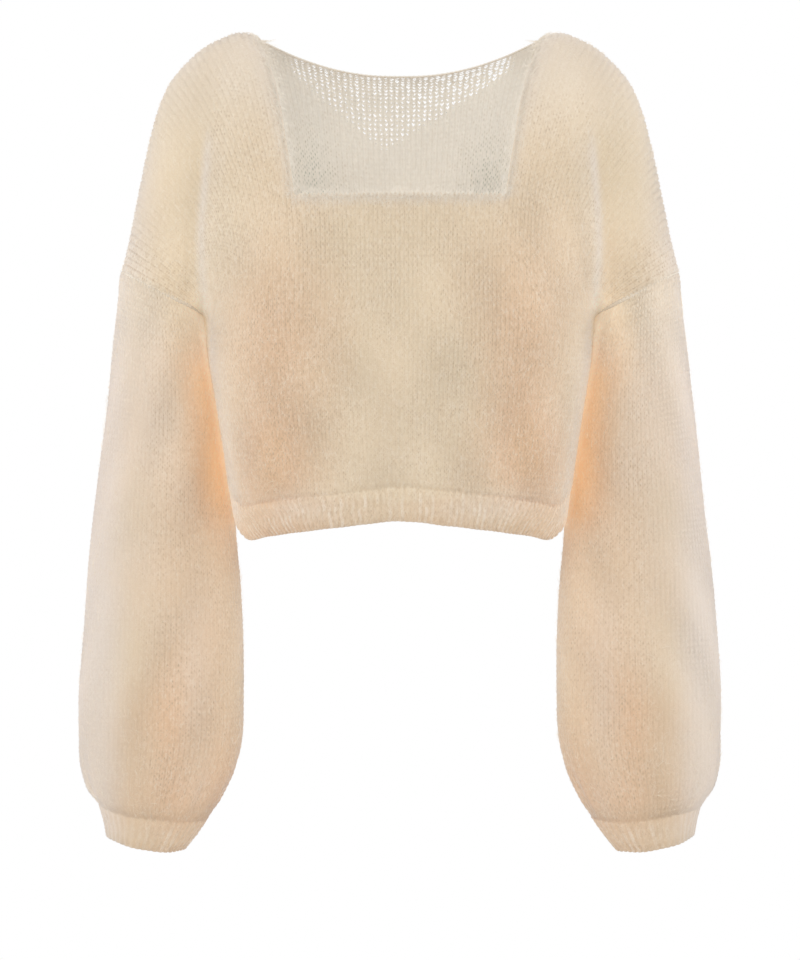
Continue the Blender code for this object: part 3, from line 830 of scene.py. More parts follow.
def knit_paint(name, inside=False, ribbed=False):
    """Brushed mohair stockinette: cream, with painted light and shade by zone (warm shade, an orange glow,
    pale highlights, darker shade), painted shade in its sunken gaps and furrows, fibres along the legs, and
    painted light given off as emission.
    """
    paint = Paint(name)
    wale, course = paint.stitch()
    place = paint.object_place()
    across = (wale.math("FRACT") - 0.5).math("ABSOLUTE")
    phase = course - ZIGZAG * (4.0 * across - 1.0)
    valley = 0.5 - 0.5 * (phase * (2 * np.pi)).math("COSINE")
    middle = 1.0 - across.step(0.05, 0.24)
    furrow = across.step(0.28, 0.5)
    patch = paint.noise(place, 26.0, 2.0)
    grain = paint.noise(place, 900.0, 3.0)
    fuzz = paint.noise(paint.node("ShaderNodeMapping", Vector=place, Scale=(1.0, 1.0, 0.62)), 400.0, 1.0)
    mottle = paint.noise(place, 190.0, 2.0)
    warm_shade_and_glow = paint.attribute("warm_shade_and_glow")
    pale_highlight = paint.attribute("pale_highlight")
    deep = paint.attribute("deep")
    own, aside, upward = paint.chances(paint.vector(wale.math("FLOOR"), phase.math("FLOOR"), 4.0))
    beside = paint.vector((wale + 0.5).math("FLOOR"), (phase + 0.5).math("FLOOR"), 9.0)
    furrow_own, side_own, _ = paint.chances(beside)
    leg_place = paint.vector((wale * 2.0).math("FLOOR"), (phase + 0.5).math("FLOOR"), 14.0)
    leg_own, _, _ = paint.chances(leg_place)
    fibre = paint.noise(paint.vector(across * 3.0, phase * 9.0, wale.math("FLOOR")), 1.0, 3.0)
    streak = paint.noise(paint.vector(wale * 3.1, course * 0.45, 9.0), 1.0, 2.0)

    # Painted light and shade, zone by zone: warm shade that turns into an orange glow, a pale highlight and a
    # darker shade.
    colour = paint.mix(warm_shade_and_glow.clamp(), CREAM, PEACH_SHADE)
    colour = paint.mix((warm_shade_and_glow - 1.0).clamp(), colour, PAINTED_GLOW_COLOUR)
    colour = paint.mix((pale_highlight + (patch - 0.5) * 0.25).clamp(), colour, PALE_HIGHLIGHT)
    colour = paint.mix(paint.attribute("painted_shade").clamp(), colour, DIM_SHADE)
    distinct = paint.attribute("clear")
    shown = (0.74 + 1.2 * (patch - 0.5) + distinct).clamp()
    # Painted shade in the knit: darker in the furrows, at the gaps between stitches and where the knit lies
    # deep, mixed with random mottling from the fuzz and grain.
    line = furrow * (0.15 + 0.8 * (streak - 0.3) + 0.45 * distinct)
    dot = (valley**2.0) * (middle * own.step(0.25, 1.0) + 0.9 * furrow * furrow_own.step(0.25, 1.0))
    gap_shade_and_mottle = line * 0.32 + dot * 0.70 + deep * (0.26 if ribbed else 0.10) + (0.48 - fuzz) * 1.0
    gap_shade_and_mottle = (gap_shade_and_mottle * shown + (0.5 - grain) * 0.45).clamp()
    if inside:
        # Painted light: the inside of the back behind the neck square is painted cooler and paler, as lit
        # through the neck, and its gaps get a grey painted shade.
        inside_light_share = paint.attribute("cool_painted_light").clamp()
        colour = paint.mix(inside_light_share, colour, COOL_INSIDE_LIGHT)
        dots = paint.attribute("dots")
        gap_shade_colour = paint.mix(dots.clamp(), GAP_SHADE, COOL_GAP_SHADE)
        purl = (0.5 - 0.5 * valley) * (0.35 + streak) * inside_light_share
        fine = (valley**1.5) * (middle * own.step(0.05, 0.75) + furrow * furrow_own.step(0.05, 0.75))
        gap_shade_and_mottle = (gap_shade_and_mottle * (1.0 - 0.70 * inside_light_share) + dots * fine * 0.80 + purl * 0.14).clamp()
    else:
        gap_shade_colour = GAP_SHADE
    colour = paint.mix(gap_shade_and_mottle, colour, gap_shade_colour)
    leg = (1.0 - middle) * (1.0 - furrow) * (1.0 - valley)
    strand = leg * leg_own.step(0.35, 1.0) * 0.34
    if ribbed:
        rib_place = paint.vector((wale * 0.5).math("FLOOR"), (course * 0.24 + own * 0.4).math("FLOOR"), 21.0)
        rib_own, start, _ = paint.chances(rib_place)
        raised = 1.0 - ((wale * 0.5).math("FRACT") - 0.25).math("ABSOLUTE").step(0.12, 0.28)
        strand = strand + raised * rib_own.step(0.15, 1.0) * (course + start * 2.0).step(1.0, 4.0) * 0.38
    light = strand + (fibre - 0.5) * 0.70 + (fuzz - 0.52) * 0.8 + (streak - 0.5) * 0.30
    light = (light * (0.35 + 0.65 * shown) + (grain - 0.5) * 0.60).clamp()
    colour = paint.mix(light, colour, BRIGHT_FIBRE)
    paint.set("Base Color", colour)
    paint.set("Roughness", (0.80 + 0.18 * mottle).clamp())
    paint.set("Sheen Weight", 0.9)
    paint.set("Sheen Roughness", 0.45)
    paint.set("Sheen Tint", (0.96, 0.96, 1.0))
    # Painted light given off as emission: an orange glow beside the body and a pale lift over creases and
    # seams, the same under any lamp.
    painted_glow = paint.attribute("painted_glow")
    glowing = paint.mix(painted_glow.clamp(), (0.0, 0.0, 0.0), GLOW_LIGHT)
    paint.set("Emission Color", paint.mix(paint.attribute("lift").clamp(), glowing, LIFT_LIGHT))
    paint.set("Emission Strength", 1.0)
    paint.set("Specular IOR Level", 0.15)
    height = fibre * 0.7 + grain * 0.8 + streak * 0.3 - dot * 0.8 - line * 0.4
    relief = paint.node(
        "ShaderNodeBump", "Normal", Strength=0.45, Distance=0.0007, Height=height,
    )
    paint.set("Normal", relief)
    blend = paint.let_light_through(0.38, colour)
    if inside:
        size = paint.attribute("open")
        wobble = (paint.noise(place, 420.0, 1.0) - 0.5) * 0.5
        beside = (wale.math("FRACT") - 0.5 - (aside - 0.5) * 0.20) / 0.38
        above = (phase.math("FRACT") - 0.5 - (upward - 0.5) * 0.22) / 0.37
        distance = (beside**2.0 + above**2.0).math("SQRT") + wobble
        hole = 1.0 - (distance - size * (0.62 + 0.62 * own)).step(-0.24, 0.20)
        hole = hole * size.step(0.02, 0.12) * (0.76 + 0.24 * side_own)
        clear = paint.tree.nodes.new("ShaderNodeBsdfTransparent")
        cover = paint.tree.nodes.new("ShaderNodeMixShader")
        feed(paint.tree, cover.inputs[0], hole)
        paint.tree.links.new(blend.outputs[0], cover.inputs[1])
        paint.tree.links.new(clear.outputs[0], cover.inputs[2])
        paint.tree.links.new(cover.outputs[0], paint.tree.nodes["Material Output"].inputs["Surface"])
    return paint.material


def plain_paint(name, colour, roughness, grain_scale, grain_share, sheen=0.0):
    """A plain surface with fine uneven grain in its colour, roughness and relief."""
    paint = Paint(name)
    place = paint.object_place()
    grain = paint.noise(place, grain_scale, 3.0)
    cloud = paint.noise(place, grain_scale / 30, 2.0)
    darker = tuple(0.72 * c for c in colour)
    share = ((grain - 0.5) * grain_share + (cloud - 0.5) * grain_share + 0.25).clamp()
    paint.set("Base Color", paint.mix(share, colour, darker))
    paint.set("Roughness", (roughness + (grain - 0.5) * 0.12).clamp())
    paint.set("Sheen Weight", sheen)
    paint.set("Specular IOR Level", 0.2)
    relief = paint.node("ShaderNodeBump", "Normal", Strength=0.3, Distance=0.0004, Height=grain)
    paint.set("Normal", relief)
    return paint.material


def nap_paint(name, colour, tip):
    """Fine hairs: the colour fades from the root's to the tip's, and each hair has its own lightness."""
    paint = Paint(name)
    rise = paint.attribute("rise")
    own = paint.attribute("own")
    base = paint.mix(rise.clamp(), colour, tip)
    lit = paint.mix((own * 0.55).clamp(), base, (0.93, 0.89, 0.82))
    paint.set("Base Color", lit)
    paint.set("Roughness", (0.62 + own * 0.3).clamp())
    paint.set("Sheen Weight", 0.3)
    paint.set("Specular IOR Level", 0.25)
    return paint.material


# ---------------------------------------------------------------- painted light and shade of the cloth, zone by zone


# Spots of painted light and shade on the front: x, z, half width and half height in mm, and their shares of
# painted warm shade, painted pale highlight and painted darker shade
FRONT_LIGHT_AND_SHADE_SPOTS = np.array([
    (-85, -290, 34, 75, 0.25, 0.0, 0.10),
    (-48, -270, 22, 90, 0.10, 0.0, 0.10),
    (60, -215, 30, 40, 0.0, 0.0, 0.10),
    (88, -335, 26, 50, 0.20, 0.0, 0.10),
    (-15, -300, 16, 90, 0.0, 0.0, 0.09),
    (50, -350, 24, 60, 0.08, 0.0, 0.06),
    (-88, -406, 34, 13, -0.25, 0.35, 0.0),
    (75, -406, 42, 13, -0.25, 0.35, 0.0),
    (-112, -190, 30, 45, 0.0, 0.0, 0.07),
    (-85, -255, 22, 30, 0.0, 0.0, 0.06),
    (-122, -408, 20, 26, 0.10, 0.0, 0.12),
    (126, -408, 18, 22, 0.14, 0.0, 0.06),
    (-51, -365, 24, 36, 0.05, 0.0, 0.07),
    (-17, -388, 24, 28, 0.0, 0.0, 0.08),
    (-120, -372, 18, 26, 0.0, 0.0, 0.05),
    (45, -372, 22, 34, 0.04, 0.0, 0.05),
])


def armhole_distance(points):
    """How far below the armhole seam's line each point lies as seen from the front, in mm."""
    along_seam = (ARMHOLE_TOP - ARMHOLE_BOTTOM) / np.linalg.norm(ARMHOLE_TOP - ARMHOLE_BOTTOM)
    x = np.abs(points[..., 0]) - ARMHOLE_BOTTOM[0]
    z = points[..., 2] - ARMHOLE_BOTTOM[1]
    return (x * along_seam[1] - z * along_seam[0]) / MM


def edge_distance(points):
    """How far outside the body's side edge each point lies as seen from the front, in mm."""
    return (np.abs(points[..., 0]) - through(BODY, 1, points[..., 2])) / MM


def front_painted_light_and_tone(points):
    """Painted light and shade of the body: warm shade at its sides, a painted pale highlight towards the top
    and as a stripe along its side edge, darker painted shade low down, a painted glow and painted light given
    off as emission along the edge, and how clearly the stitches show.
    """
    x = points[..., 0] / MM
    z = points[..., 2] / MM
    a = np.abs(x)
    d = edge_distance(points)
    # Painted warm shade at the body's sides, less down its middle, more near the hem.
    warm_shade_and_glow = 0.85 * bump(a, 108, 42) * bump(z, -268, 90)
    warm_shade_and_glow += 1.00 * bump(a, 112, 40) * bump(z, -372, 52)
    warm_shade_and_glow += 0.12 * drift(x / 6, z / 6, 3)
    warm_shade_and_glow -= 0.35 * bump(x, 0, 34) * bump(z, -300, 130)
    # Painted pale highlight towards the top, as a stripe along the side edge with painted crease shade beside
    # it on the arm's side, and at the shoulders.
    pale_highlight = 0.50 * smoothstep((z + 130) / 120) + 0.25 * bump(d, 70, 30) * smoothstep((-z - 60) / 60)
    crease = smoothstep((-z - 75) / 40) * smoothstep((z + 428) / 20)
    centre = -3.5 + 6.0 * smoothstep((z + 262) / 120)
    crease = crease * (0.62 + 0.38 * smoothstep((z + 320) / 60))
    pale_highlight += (0.70 * bump(d, centre, 4.2) + 0.25 * bump(d, -5, 10)) * crease - 0.22 * bump(d, 12, 5) * crease
    pale_highlight += 0.50 * smoothstep((a - 196) / 40) * smoothstep((-z - 60) / 60)
    # Painted shade near the hem and at the shoulders.
    painted_shade = 0.11 * smoothstep((-z - 390) / 14) + 0.07 * bump(a, 150, 30) * bump(z, -22, 26)
    warm_shade_and_glow += 0.32 * smoothstep((-z - 392) / 10)
    for middle_x, middle_z, half_x, half_z, more_warm_shade, more_highlight, more_shade in FRONT_LIGHT_AND_SHADE_SPOTS:
        spot = bump(x, middle_x, half_x) * bump(z, middle_z, half_z)
        warm_shade_and_glow = warm_shade_and_glow + more_warm_shade * spot
        pale_highlight = pale_highlight + more_highlight * spot
        painted_shade = painted_shade + more_shade * spot
    # Painted light, as emission, lifting the crease along the side edge, the underarm, the shoulders and the
    # armhole's top.
    beside = smoothstep((-z - 238) / 25) * smoothstep((z + 440) / 12)
    lift = 0.60 * bump(d, 0.5, 3.0) * beside + 0.26 * bump(d, 6, 26) * smoothstep((-z - 120) / 100)
    lift += 0.16 * bump(d, -3, 8) * smoothstep((-z - 110) / 60)
    lift += 0.60 * bump(d, 4, 16) * bump(z, -238, 14) + 0.12 * bump(d, 22, 17) * bump(z, -145, 55)
    lift += 0.14 * bump(a, 232, 18) * bump(z, -215, 30)
    # Painted glow along the lower side edge, given off as emission.
    painted_glow = 0.20 * bump(d, 0, 7) * smoothstep((-z - 260) / 30) * smoothstep((z + 440) / 40)
    s = armhole_distance(points)
    clear = (0.55 * bump(s, -6, 26) - 0.50 * (1 - bump(s, -6, 24))) * smoothstep((d + 2) / 10)
    clear -= 0.55 * smoothstep((z + 90) / 60) * smoothstep((a - 90) / 20)
    clear += 0.20 * bump(a, 105, 40) * bump(z, -280, 110) - 0.28 * bump(x, -5, 40) * bump(z, -290, 150)
    return {"warm_shade_and_glow": warm_shade_and_glow, "pale_highlight": pale_highlight, "painted_shade": painted_shade, "painted_glow": painted_glow, "lift": lift, "clear": clear}


def sleeve_painted_light_and_tone(points, side):
    """Painted light and shade of a sleeve: warm shade and a painted glow beside the body, a painted pale
    highlight on its outer side, darker painted shade in places, painted light given off as emission, and how
    clearly the stitches show.
    """
    x = side * points[..., 0] / MM
    z = points[..., 2] / MM
    d = edge_distance(points)
    upper = smoothstep((-z - 245) / 60)
    # Painted warm shade, strongest beside the body.
    warm_shade_and_glow = 1.30 * bump(d, 2, 23) * upper * smoothstep((z + 500) / 100)
    warm_shade_and_glow += 0.50 * bump(x, 180, 40) * bump(z, -480, 160) + 0.45 * bump(x, 148, 26) * bump(z, -620, 70)
    warm_shade_and_glow += 0.50 * bump(x, 194, 20) * bump(z, -610, 75) + 0.40 * bump(z, -655, 30)
    warm_shade_and_glow += 0.10 + 0.12 * drift(x / 6, z / 6, 5)
    # Painted pale highlight on the outer side and in patches.
    pale_highlight = 0.85 * smoothstep((x - 222) / 36) + 0.36 * smoothstep((z + 470) / 140) * smoothstep((d - 18) / 24)
    pale_highlight += 0.25 * bump(x, 172, 14) * bump(z, -560, 90) + 0.16 * bump(z, -500, 60)
    pale_highlight += 0.26 * bump(x, 222, 22) * bump(z, -300, 90) + 0.20 * bump(x, 222, 22) * bump(z, -450, 40)
    # Painted darker shade in patches and near the cuff.
    painted_shade = 0.14 * bump(x, 222, 15) * bump(z, -612, 60) + 0.17 * smoothstep((-z - 655) / 12)
    painted_shade += 0.08 * bump(d, 26, 14) * bump(z, -350, 55)
    # Painted light, as emission, lifting the crease beside the body, the armhole seam and patches of the
    # sleeve.
    lift = 0.75 * bump(d, 0.5, 3.5) + 0.12 * bump(d, 6, 8)
    lift = lift * smoothstep((-z - 236) / 20) * smoothstep((z + 452) / 16)
    lift += 0.45 * bump(d, 2, 15) * bump(z, -236, 15) + 0.12 * bump(d, 14, 22) * bump(z, -258, 35)
    lift += 0.10 * bump(z, -280, 90) * smoothstep(d / 15) + 0.30 * bump(x, 138, 26) * bump(z, -485, 50)
    lift += 0.12 * bump(x, 138, 24) * bump(z, -560, 60) + 0.25 * bump(x, 226, 26) * bump(z, -226, 20)
    lift += 0.24 * bump(x, 188, 16) * bump(z, -230, 18) + 0.17 * bump(x, 186, 18) * bump(z, -263, 24)
    lift += 0.09 * bump(x, 190, 16) * bump(z, -502, 26) + 0.05 * bump(armhole_distance(points), 3, 6)
    lift += 0.14 * bump(x, 184, 14) * bump(z, -300, 24) + 0.15 * bump(x, 152, 11) * bump(z, -433, 16)
    lift += 0.08 * bump(x, 188, 14) * bump(z, -625, 50)
    # Painted glow on the inner side beside the body, given off as emission.
    painted_glow = bump(x, 148, 20) * smoothstep((-z - 240) / 50) * smoothstep((z + 440) / 100)
    painted_glow += 0.22 * bump(x, 150, 22) * bump(z, -540, 95)
    clear = 0.20 * bump(armhole_distance(points), 10, 30) - 0.65 * smoothstep((x - 198) / 36)
    clear -= 0.15 * bump(x, 160, 14) * bump(z, -600, 80) + 0.35 * painted_glow
    return {"warm_shade_and_glow": warm_shade_and_glow, "pale_highlight": pale_highlight, "painted_shade": painted_shade, "painted_glow": painted_glow, "lift": lift, "clear": clear}


# ---------------------------------------------------------------- pieces

front_knit = knit_paint("front_knit")
back_knit = knit_paint("back_knit", inside=True)
sleeve_knit = knit_paint("sleeve_knit")
rib_knit = knit_paint("rib_knit", ribbed=True)
edge_yarn = plain_paint("neck_edge_yarn", (0.76, 0.71, 0.63), 0.9, 1400.0, 0.5, 0.4)
# The seam yarn is the cloth's yarn darkened into a painted shade, so that the roll does not show lit.
seam_yarn_painted_shade = plain_paint("seam_yarn_painted_shade", (0.74, 0.65, 0.53), 0.9, 1400.0, 0.5, 0.4)
nap_hair = nap_paint("nap_hair", (0.84, 0.72, 0.55), (0.95, 0.88, 0.77))
pale_hair = nap_paint("neck_nap_hair", (0.80, 0.73, 0.62), (0.88, 0.82, 0.73))


def gather(across, height_above, wave, depth, reach, seed):
    """Small folds where cloth is gathered into a band: uneven waves that fade with height above it."""
    waves = np.sin(across / wave * 2 * np.pi + 1.7 * drift(across / wave, 0 * across, seed))
    waves += 0.6 * np.sin(across / wave * 1.37 * 2 * np.pi + seed)
    return depth * waves * np.exp(-((height_above / reach) ** 2))


def panel_drape(wale, course, seed):
    """The shell's own creases: gathers above the hem, and soft troughs that run in from the underarm."""
    out = gather(wale, course, 6.3, 0.28 * MM, 6.0, seed)
    a = np.abs(wale)
    for reach, slope, spread, depth in ((30, 0.55, 2.4, 1.3), (24, -0.15, 2.2, 1.0), (20, 1.25, 2.0, 0.9)):
        line = LOWER_COURSES - 2 + slope * (HALF_WALES - a)
        fade = smoothstep((a - (HALF_WALES - reach)) / reach) * smoothstep((HALF_WALES - a) / 5)
        out = out - depth * MM * fade * bump(course, line, spread)
    return out + 0.35 * MM * drift(wale * 0.5, course * 0.5, seed + 9)


def make_panel(name, front, material, painted_light_and_tone):
    """A panel of stitches on its form, moved along the form's normal by stitch height and drape."""
    form = PanelForm(front)
    wale, course, height = stitch_lines(2 * HALF_WALES, form.top_course, False, 11 + front)
    centred = wale - HALF_WALES
    point, normal, _, _ = form.at_stitch(centred, course)
    drape = panel_drape(centred, course, 21 + front)
    aside = edge_distance(point)
    ridge = 1.2 * bump(aside, 1, 3.5) - 1.9 * bump(aside, 9, 5)
    drape += ridge * MM * smoothstep((-point[..., 2] / MM - 85) / 50)
    from_edge = HALF_WALES - np.abs(centred)
    seam_ridge = bump(from_edge, 0.6, 0.9) - 0.5 * bump(from_edge, 2.6, 0.9)
    inner = smoothstep((212 - np.abs(point[..., 0]) / MM) / 30)
    drape += 0.3 * MM * seam_ridge * (course > LOWER_COURSES) * inner
    drape -= 0.25 * MM * bump(course, 0, 1.2)
    points = point + (height + drape - SHELL_INSET)[..., None] * normal
    near_seam = SEAM_PLANE_Y + (-0.2 if front else 0.2) * MM
    points[..., 1] = np.minimum(points[..., 1], near_seam) if front else np.maximum(points[..., 1], near_seam)
    keep = np.ones((len(points) - 1, points.shape[1] - 1), dtype=bool)
    neck_course = form.neck_course
    if front:
        above = np.arange(len(points) - 1) >= 2 * neck_course
        middle = np.abs(centred[0, :-1] + 0.125) < NECK_WALES
        keep[np.ix_(above, middle)] = False
    values = {**painted_light_and_tone(points), "deep": cavity(height)}
    # Painted light, as emission, along the hem seam.
    values["lift"] = values["lift"] + 0.08 * bump(course, 0, 1.3)
    if front:
        # Painted pale highlight along the neck's edges.
        side = bump(np.abs(centred), NECK_WALES, 2.6) * (course > neck_course - 1)
        foot = bump(course, neck_course, 1.8) * (np.abs(centred) < NECK_WALES + 1)
        values["pale_highlight"] = values["pale_highlight"] + 0.45 * np.maximum(side, foot)
    else:
        values.update(back_neck_openness_and_light(points))
    made = grid_mesh(name, points, centred, course, keep, False, not front, material, values)
    return form, made


def back_neck_openness_and_light(points):
    """How open the back is behind the neck square, where painted cool light lies on its inside and where its
    gaps get painted dots of shade; the painted light shows on both sides.
    """
    x = points[..., 0] / MM
    z = points[..., 2] / MM
    top = -28 + 22 * (np.abs(x) / 118) ** 2.2
    vee = -94 + np.maximum(-0.83 * (x + 15), 0.60 * (x + 15))
    above = smoothstep((z - vee + 3) / 7) * smoothstep((104 - np.abs(x)) / 16)
    near_edge = smoothstep((z - top + 30) / 28)
    lopsided = 0.92 + 0.20 * np.clip(x / 60, -1, 1)
    is_open = above * (0.70 + 0.22 * near_edge) * lopsided * (points[..., 1] > SEAM_PLANE_Y)
    inside_light_window = smoothstep((125 - np.abs(x)) / 14) * smoothstep((z + 190) / 40)
    dots = bump(np.abs(x), 78, 24) * bump(z, -112, 40) + 0.5 * bump(np.abs(x), 60, 30) * bump(z, -140, 16)
    return {"open": is_open, "cool_painted_light": inside_light_window, "dots": dots}


def make_sleeve(name, side, material):
    """A sleeve of stitches on its form: rings of wales from the armhole seam to the cuff seam."""
    form = Form(sleeve_form(side), True, side)
    wale, course, height = stitch_lines(SLEEVE_WALES, SLEEVE_COURSES, True, 31 + side)
    rings = ring_lengths(SLEEVE)
    row = np.interp(course / SLEEVE_COURSES, rings, np.arange(len(SLEEVE))) / (len(SLEEVE) - 1) * 72
    column = wale / SLEEVE_WALES * 112
    point, normal, _, onward = form.frame_at(row, column)
    turn = 2 * np.pi * wale / SLEEVE_WALES
    folds = np.sin(13 * turn + 1.5 * np.sin(2 * turn + side)) + 0.7 * np.sin(19 * turn + 2 * side)
    to_cuff = SLEEVE_COURSES - course
    drape = 1.1 * MM * folds * np.exp(-((to_cuff / 10) ** 2)) * smoothstep(to_cuff / 4)
    drape += 0.5 * MM * folds * np.exp(-((course / 5) ** 2)) * smoothstep(course / 2)
    drape += 0.5 * MM * drift(wale * 0.5, course * 0.5, 35 + side, SLEEVE_WALES / 2)
    inset = SHELL_INSET * (1 - 0.7 * np.exp(-((to_cuff / 8) ** 2)))
    points = point + (height + drape - inset)[..., None] * normal
    points[0] -= 1.6 * MM * normal[0] + 1.0 * MM * onward[0]
    values = {**sleeve_painted_light_and_tone(points, side), "deep": cavity(height)}
    keep = np.ones((len(points) - 1, points.shape[1] - 1), dtype=bool)
    values = {key: field[:, :-1] for key, field in values.items()}
    made = grid_mesh(
        name, points[:, :-1], wale, course, keep, True, side < 0, material, values
    )
    return form, made


def ring_lengths(table):
    """The share of a sleeve's length at which each row of its table lies."""
    middle = (table[:, :2] + table[:, 2:4]) / 2
    steps = np.linalg.norm(np.diff(middle, axis=0), axis=1)
    return np.append(0, np.cumsum(steps)) / steps.sum()


def rib_lines(ribs, courses, seed):
    """The rib grid: share of the turn, stitch coordinates and height, a raised wale then a sunken one."""
    rib = np.repeat(np.arange(ribs), len(RIB))
    kind = np.tile(np.arange(len(RIB)), ribs)
    rows = np.arange(2 * courses + 1)
    turn = (rib + RIB[kind, 0]) / ribs
    wale = 2 * rib + RIB[kind, 1]
    height = np.where((rows % 2 == 0)[:, None], RIB[kind, 2], RIB[kind, 3]) * MM
    zigzag = np.where(RIB[kind, 1] <= 1, 4 * np.abs(RIB[kind, 1] - 0.5) - 1, 0)
    turn, course = np.meshgrid(turn, rows / 2)
    ends = np.clip(np.minimum(course, courses - course), 0, 1)
    course = course + ZIGZAG * zigzag * ends
    rng = np.random.default_rng(seed)
    tension = np.repeat(rng.normal(0, 1, (len(rows), ribs)), len(RIB), axis=1)
    height = height + 0.10 * MM * tension
    wale = np.broadcast_to(wale, turn.shape).astype(float)
    return turn, wale, course, height


def with_ends(points, normals, step):
    """Rows added to a band: one above its head, under the cloth it joins, and three below its free edge.

    The last three turn the edge in and up again by the cloth's thickness.
    """
    head = points[0] - 1.5 * MM * normals[0] + [0, 0, 4 * MM]
    foot = points[-1]
    first = foot - 0.8 * MM * normals[-1] + [0, 0, -0.5 * MM]
    second = foot - 2.0 * MM * normals[-1] + [0, 0, 0.4 * MM]
    third = foot - 2.2 * MM * normals[-1] + [0, 0, step]
    return np.concatenate([[head], points, [first, second, third]])


def finish_band(name, points, normals, wale, course, height, painted_light_and_tone, flip, material):
    """A rib band's mesh, with its lip."""
    points = with_ends(points, normals, 5 * MM)
    last = course[-1:]
    course = np.concatenate([course[:1] - 0.8, course, last + 0.3, last + 0.6, last + 1.2])
    wale = np.concatenate([wale[:1], wale] + [wale[-1:]] * 3)
    height = np.concatenate([height[:1], height] + [height[-1:]] * 3)
    wale = np.concatenate([wale, wale[:, :1] + round(float(wale.max()))], axis=1)
    course = np.concatenate([course, course[:, :1]], axis=1)
    values = {**painted_light_and_tone(points), "deep": cavity(height)}
    # Painted light, as emission, along the band's head.
    values["lift"] = values["lift"] + 0.08 * bump(course[:, :-1], 0, 1.2)
    keep = np.ones((len(points) - 1, points.shape[1]), dtype=bool)
    return grid_mesh(name, points, wale, course, keep, True, flip, material, values)


def hem_points(turn, down):
    """The hem's outer face: its place round the body (turn 0 to 1 from the front's middle) and down it.

    Near its corners the ribs slant, their feet nearer the middle of the panel than their heads.
    """
    quarter = (turn % 1) * 4
    number = np.floor(quarter).astype(int)
    within = quarter - number
    u = np.where(number % 2 == 0, within, 1 - within)
    side = np.where(number < 2, 1, -1)
    front = (number == 0) | (number == 3)
    top = np.where(front, hem_edge_z(u, True), hem_edge_z(u, False)) + HEM_BAND_HEIGHT
    z = top - down * HEM_BAND_HEIGHT
    front_x, front_depth = body_section(u, z, True)
    back_x, back_depth = body_section(u, z, False)
    x = side * np.where(front, front_x, back_x)
    y = SEAM_PLANE_Y + np.where(front, -front_depth, back_depth)
    return np.stack([x, y, z], axis=-1)


def make_hem(name, material):
    """The ribbed hem on its form, one tube round the body."""
    turn, wale, course, height = rib_lines(HEM_RIBS, HEM_COURSES, 41)
    down = course / HEM_COURSES
    quarter = (turn % 0.5) * 4
    corner = np.where(quarter < 1, quarter, 2 - quarter)
    slant = 0.028 * smoothstep((corner - 0.25) / 0.6) * smoothstep((1.0 - corner) / 0.12)
    toward = np.where((turn * 4 % 2) < 1, -1, 1)
    uneven = 0.0007 * drift(4 * wale, 9 * course, 43, 8 * HEM_RIBS)
    placed = turn + toward * slant * down + uneven
    points = hem_points(placed, down)
    normals = -grid_normals(points, True)
    normals[0, :, 2] = 0
    normals = unit(normals)
    ripple = 0.5 * MM * np.sin(2 * np.pi * turn * 23 + 2 * np.sin(2 * np.pi * turn * 3)) * down
    sunk = (0.12 + 0.34 * (1 - smoothstep(down / 0.4))) * MM
    points = points + (height + ripple - sunk)[..., None] * normals
    return finish_band(name, points, normals, wale, course, height, front_painted_light_and_tone, True, material)


def make_cuff(name, side, material):
    """A ribbed cuff on its form, one tube round the wrist."""
    turn, wale, course, height = rib_lines(CUFF_RIBS, CUFF_COURSES, 51 + side)
    row = course / CUFF_COURSES * (len(CUFF) - 1)
    points = ring_points(CUFF, row, 2 * np.pi * turn, side)
    normals = grid_normals(points, True) * side
    normals[0, :, 2] = 0
    normals = unit(normals)
    ripple = 0.5 * MM * np.sin(2 * np.pi * turn * 7 + side) * course / CUFF_COURSES
    sunk = (0.06 + 0.24 * (1 - smoothstep(course / CUFF_COURSES / 0.4))) * MM
    points = points + (height + ripple - sunk)[..., None] * normals

    def painted_light_and_tone(where):
        return sleeve_painted_light_and_tone(where, side)

    return finish_band(name, points, normals, wale, course, height, painted_light_and_tone, side < 0, material)


def make_roll(name, path, outward, radius, steps, material, closed=False):
    """A rolled edge: a tube along a path, its section an uneven circle that swells once a stitch.

    path and outward are matching arrays of points and outward directions. The radius swells and
    shrinks along the path by a sine of its length, a little unevenly.
    """
    onward = np.gradient(path, axis=0)
    if closed:
        wide = np.concatenate([path[-1:], path, path[:1]])
        onward = (wide[2:] - wide[:-2]) / 2
    onward = unit(onward)
    sideways = unit(np.cross(onward, outward))
    out = unit(np.cross(sideways, onward))
    length = np.append(0, np.cumsum(np.linalg.norm(np.diff(path, axis=0), axis=1)))
    swell = 1 + 0.16 * np.sin(length / (4.2 * MM) * 2 * np.pi)
    swell += 0.08 * drift(length / (9 * MM), 0 * length, 8)
    angle = np.linspace(0, 2 * np.pi, steps, endpoint=False)
    ring_out = np.cos(angle)[None, :, None] * out[:, None]
    ring_side = np.sin(angle)[None, :, None] * sideways[:, None]
    points = path[:, None] + (radius * swell)[:, None, None] * (ring_out + ring_side)
    rows = len(points)
    if closed:
        points = np.concatenate([points, points[:1]])
        rows += 1
    row, column = np.meshgrid(np.arange(rows - 1), np.arange(steps), indexing="ij")
    after = (column + 1) % steps
    upper = (row + 1) % (rows - 1) if closed else row + 1
    here = row * steps
    beyond = upper * steps
    quads = np.stack([here + column, beyond + column, beyond + after, here + after], -1)
    points = points[:-1] if closed else points
    return build_mesh(name, points.reshape(-1, 3), quads.reshape(-1, 4), material)


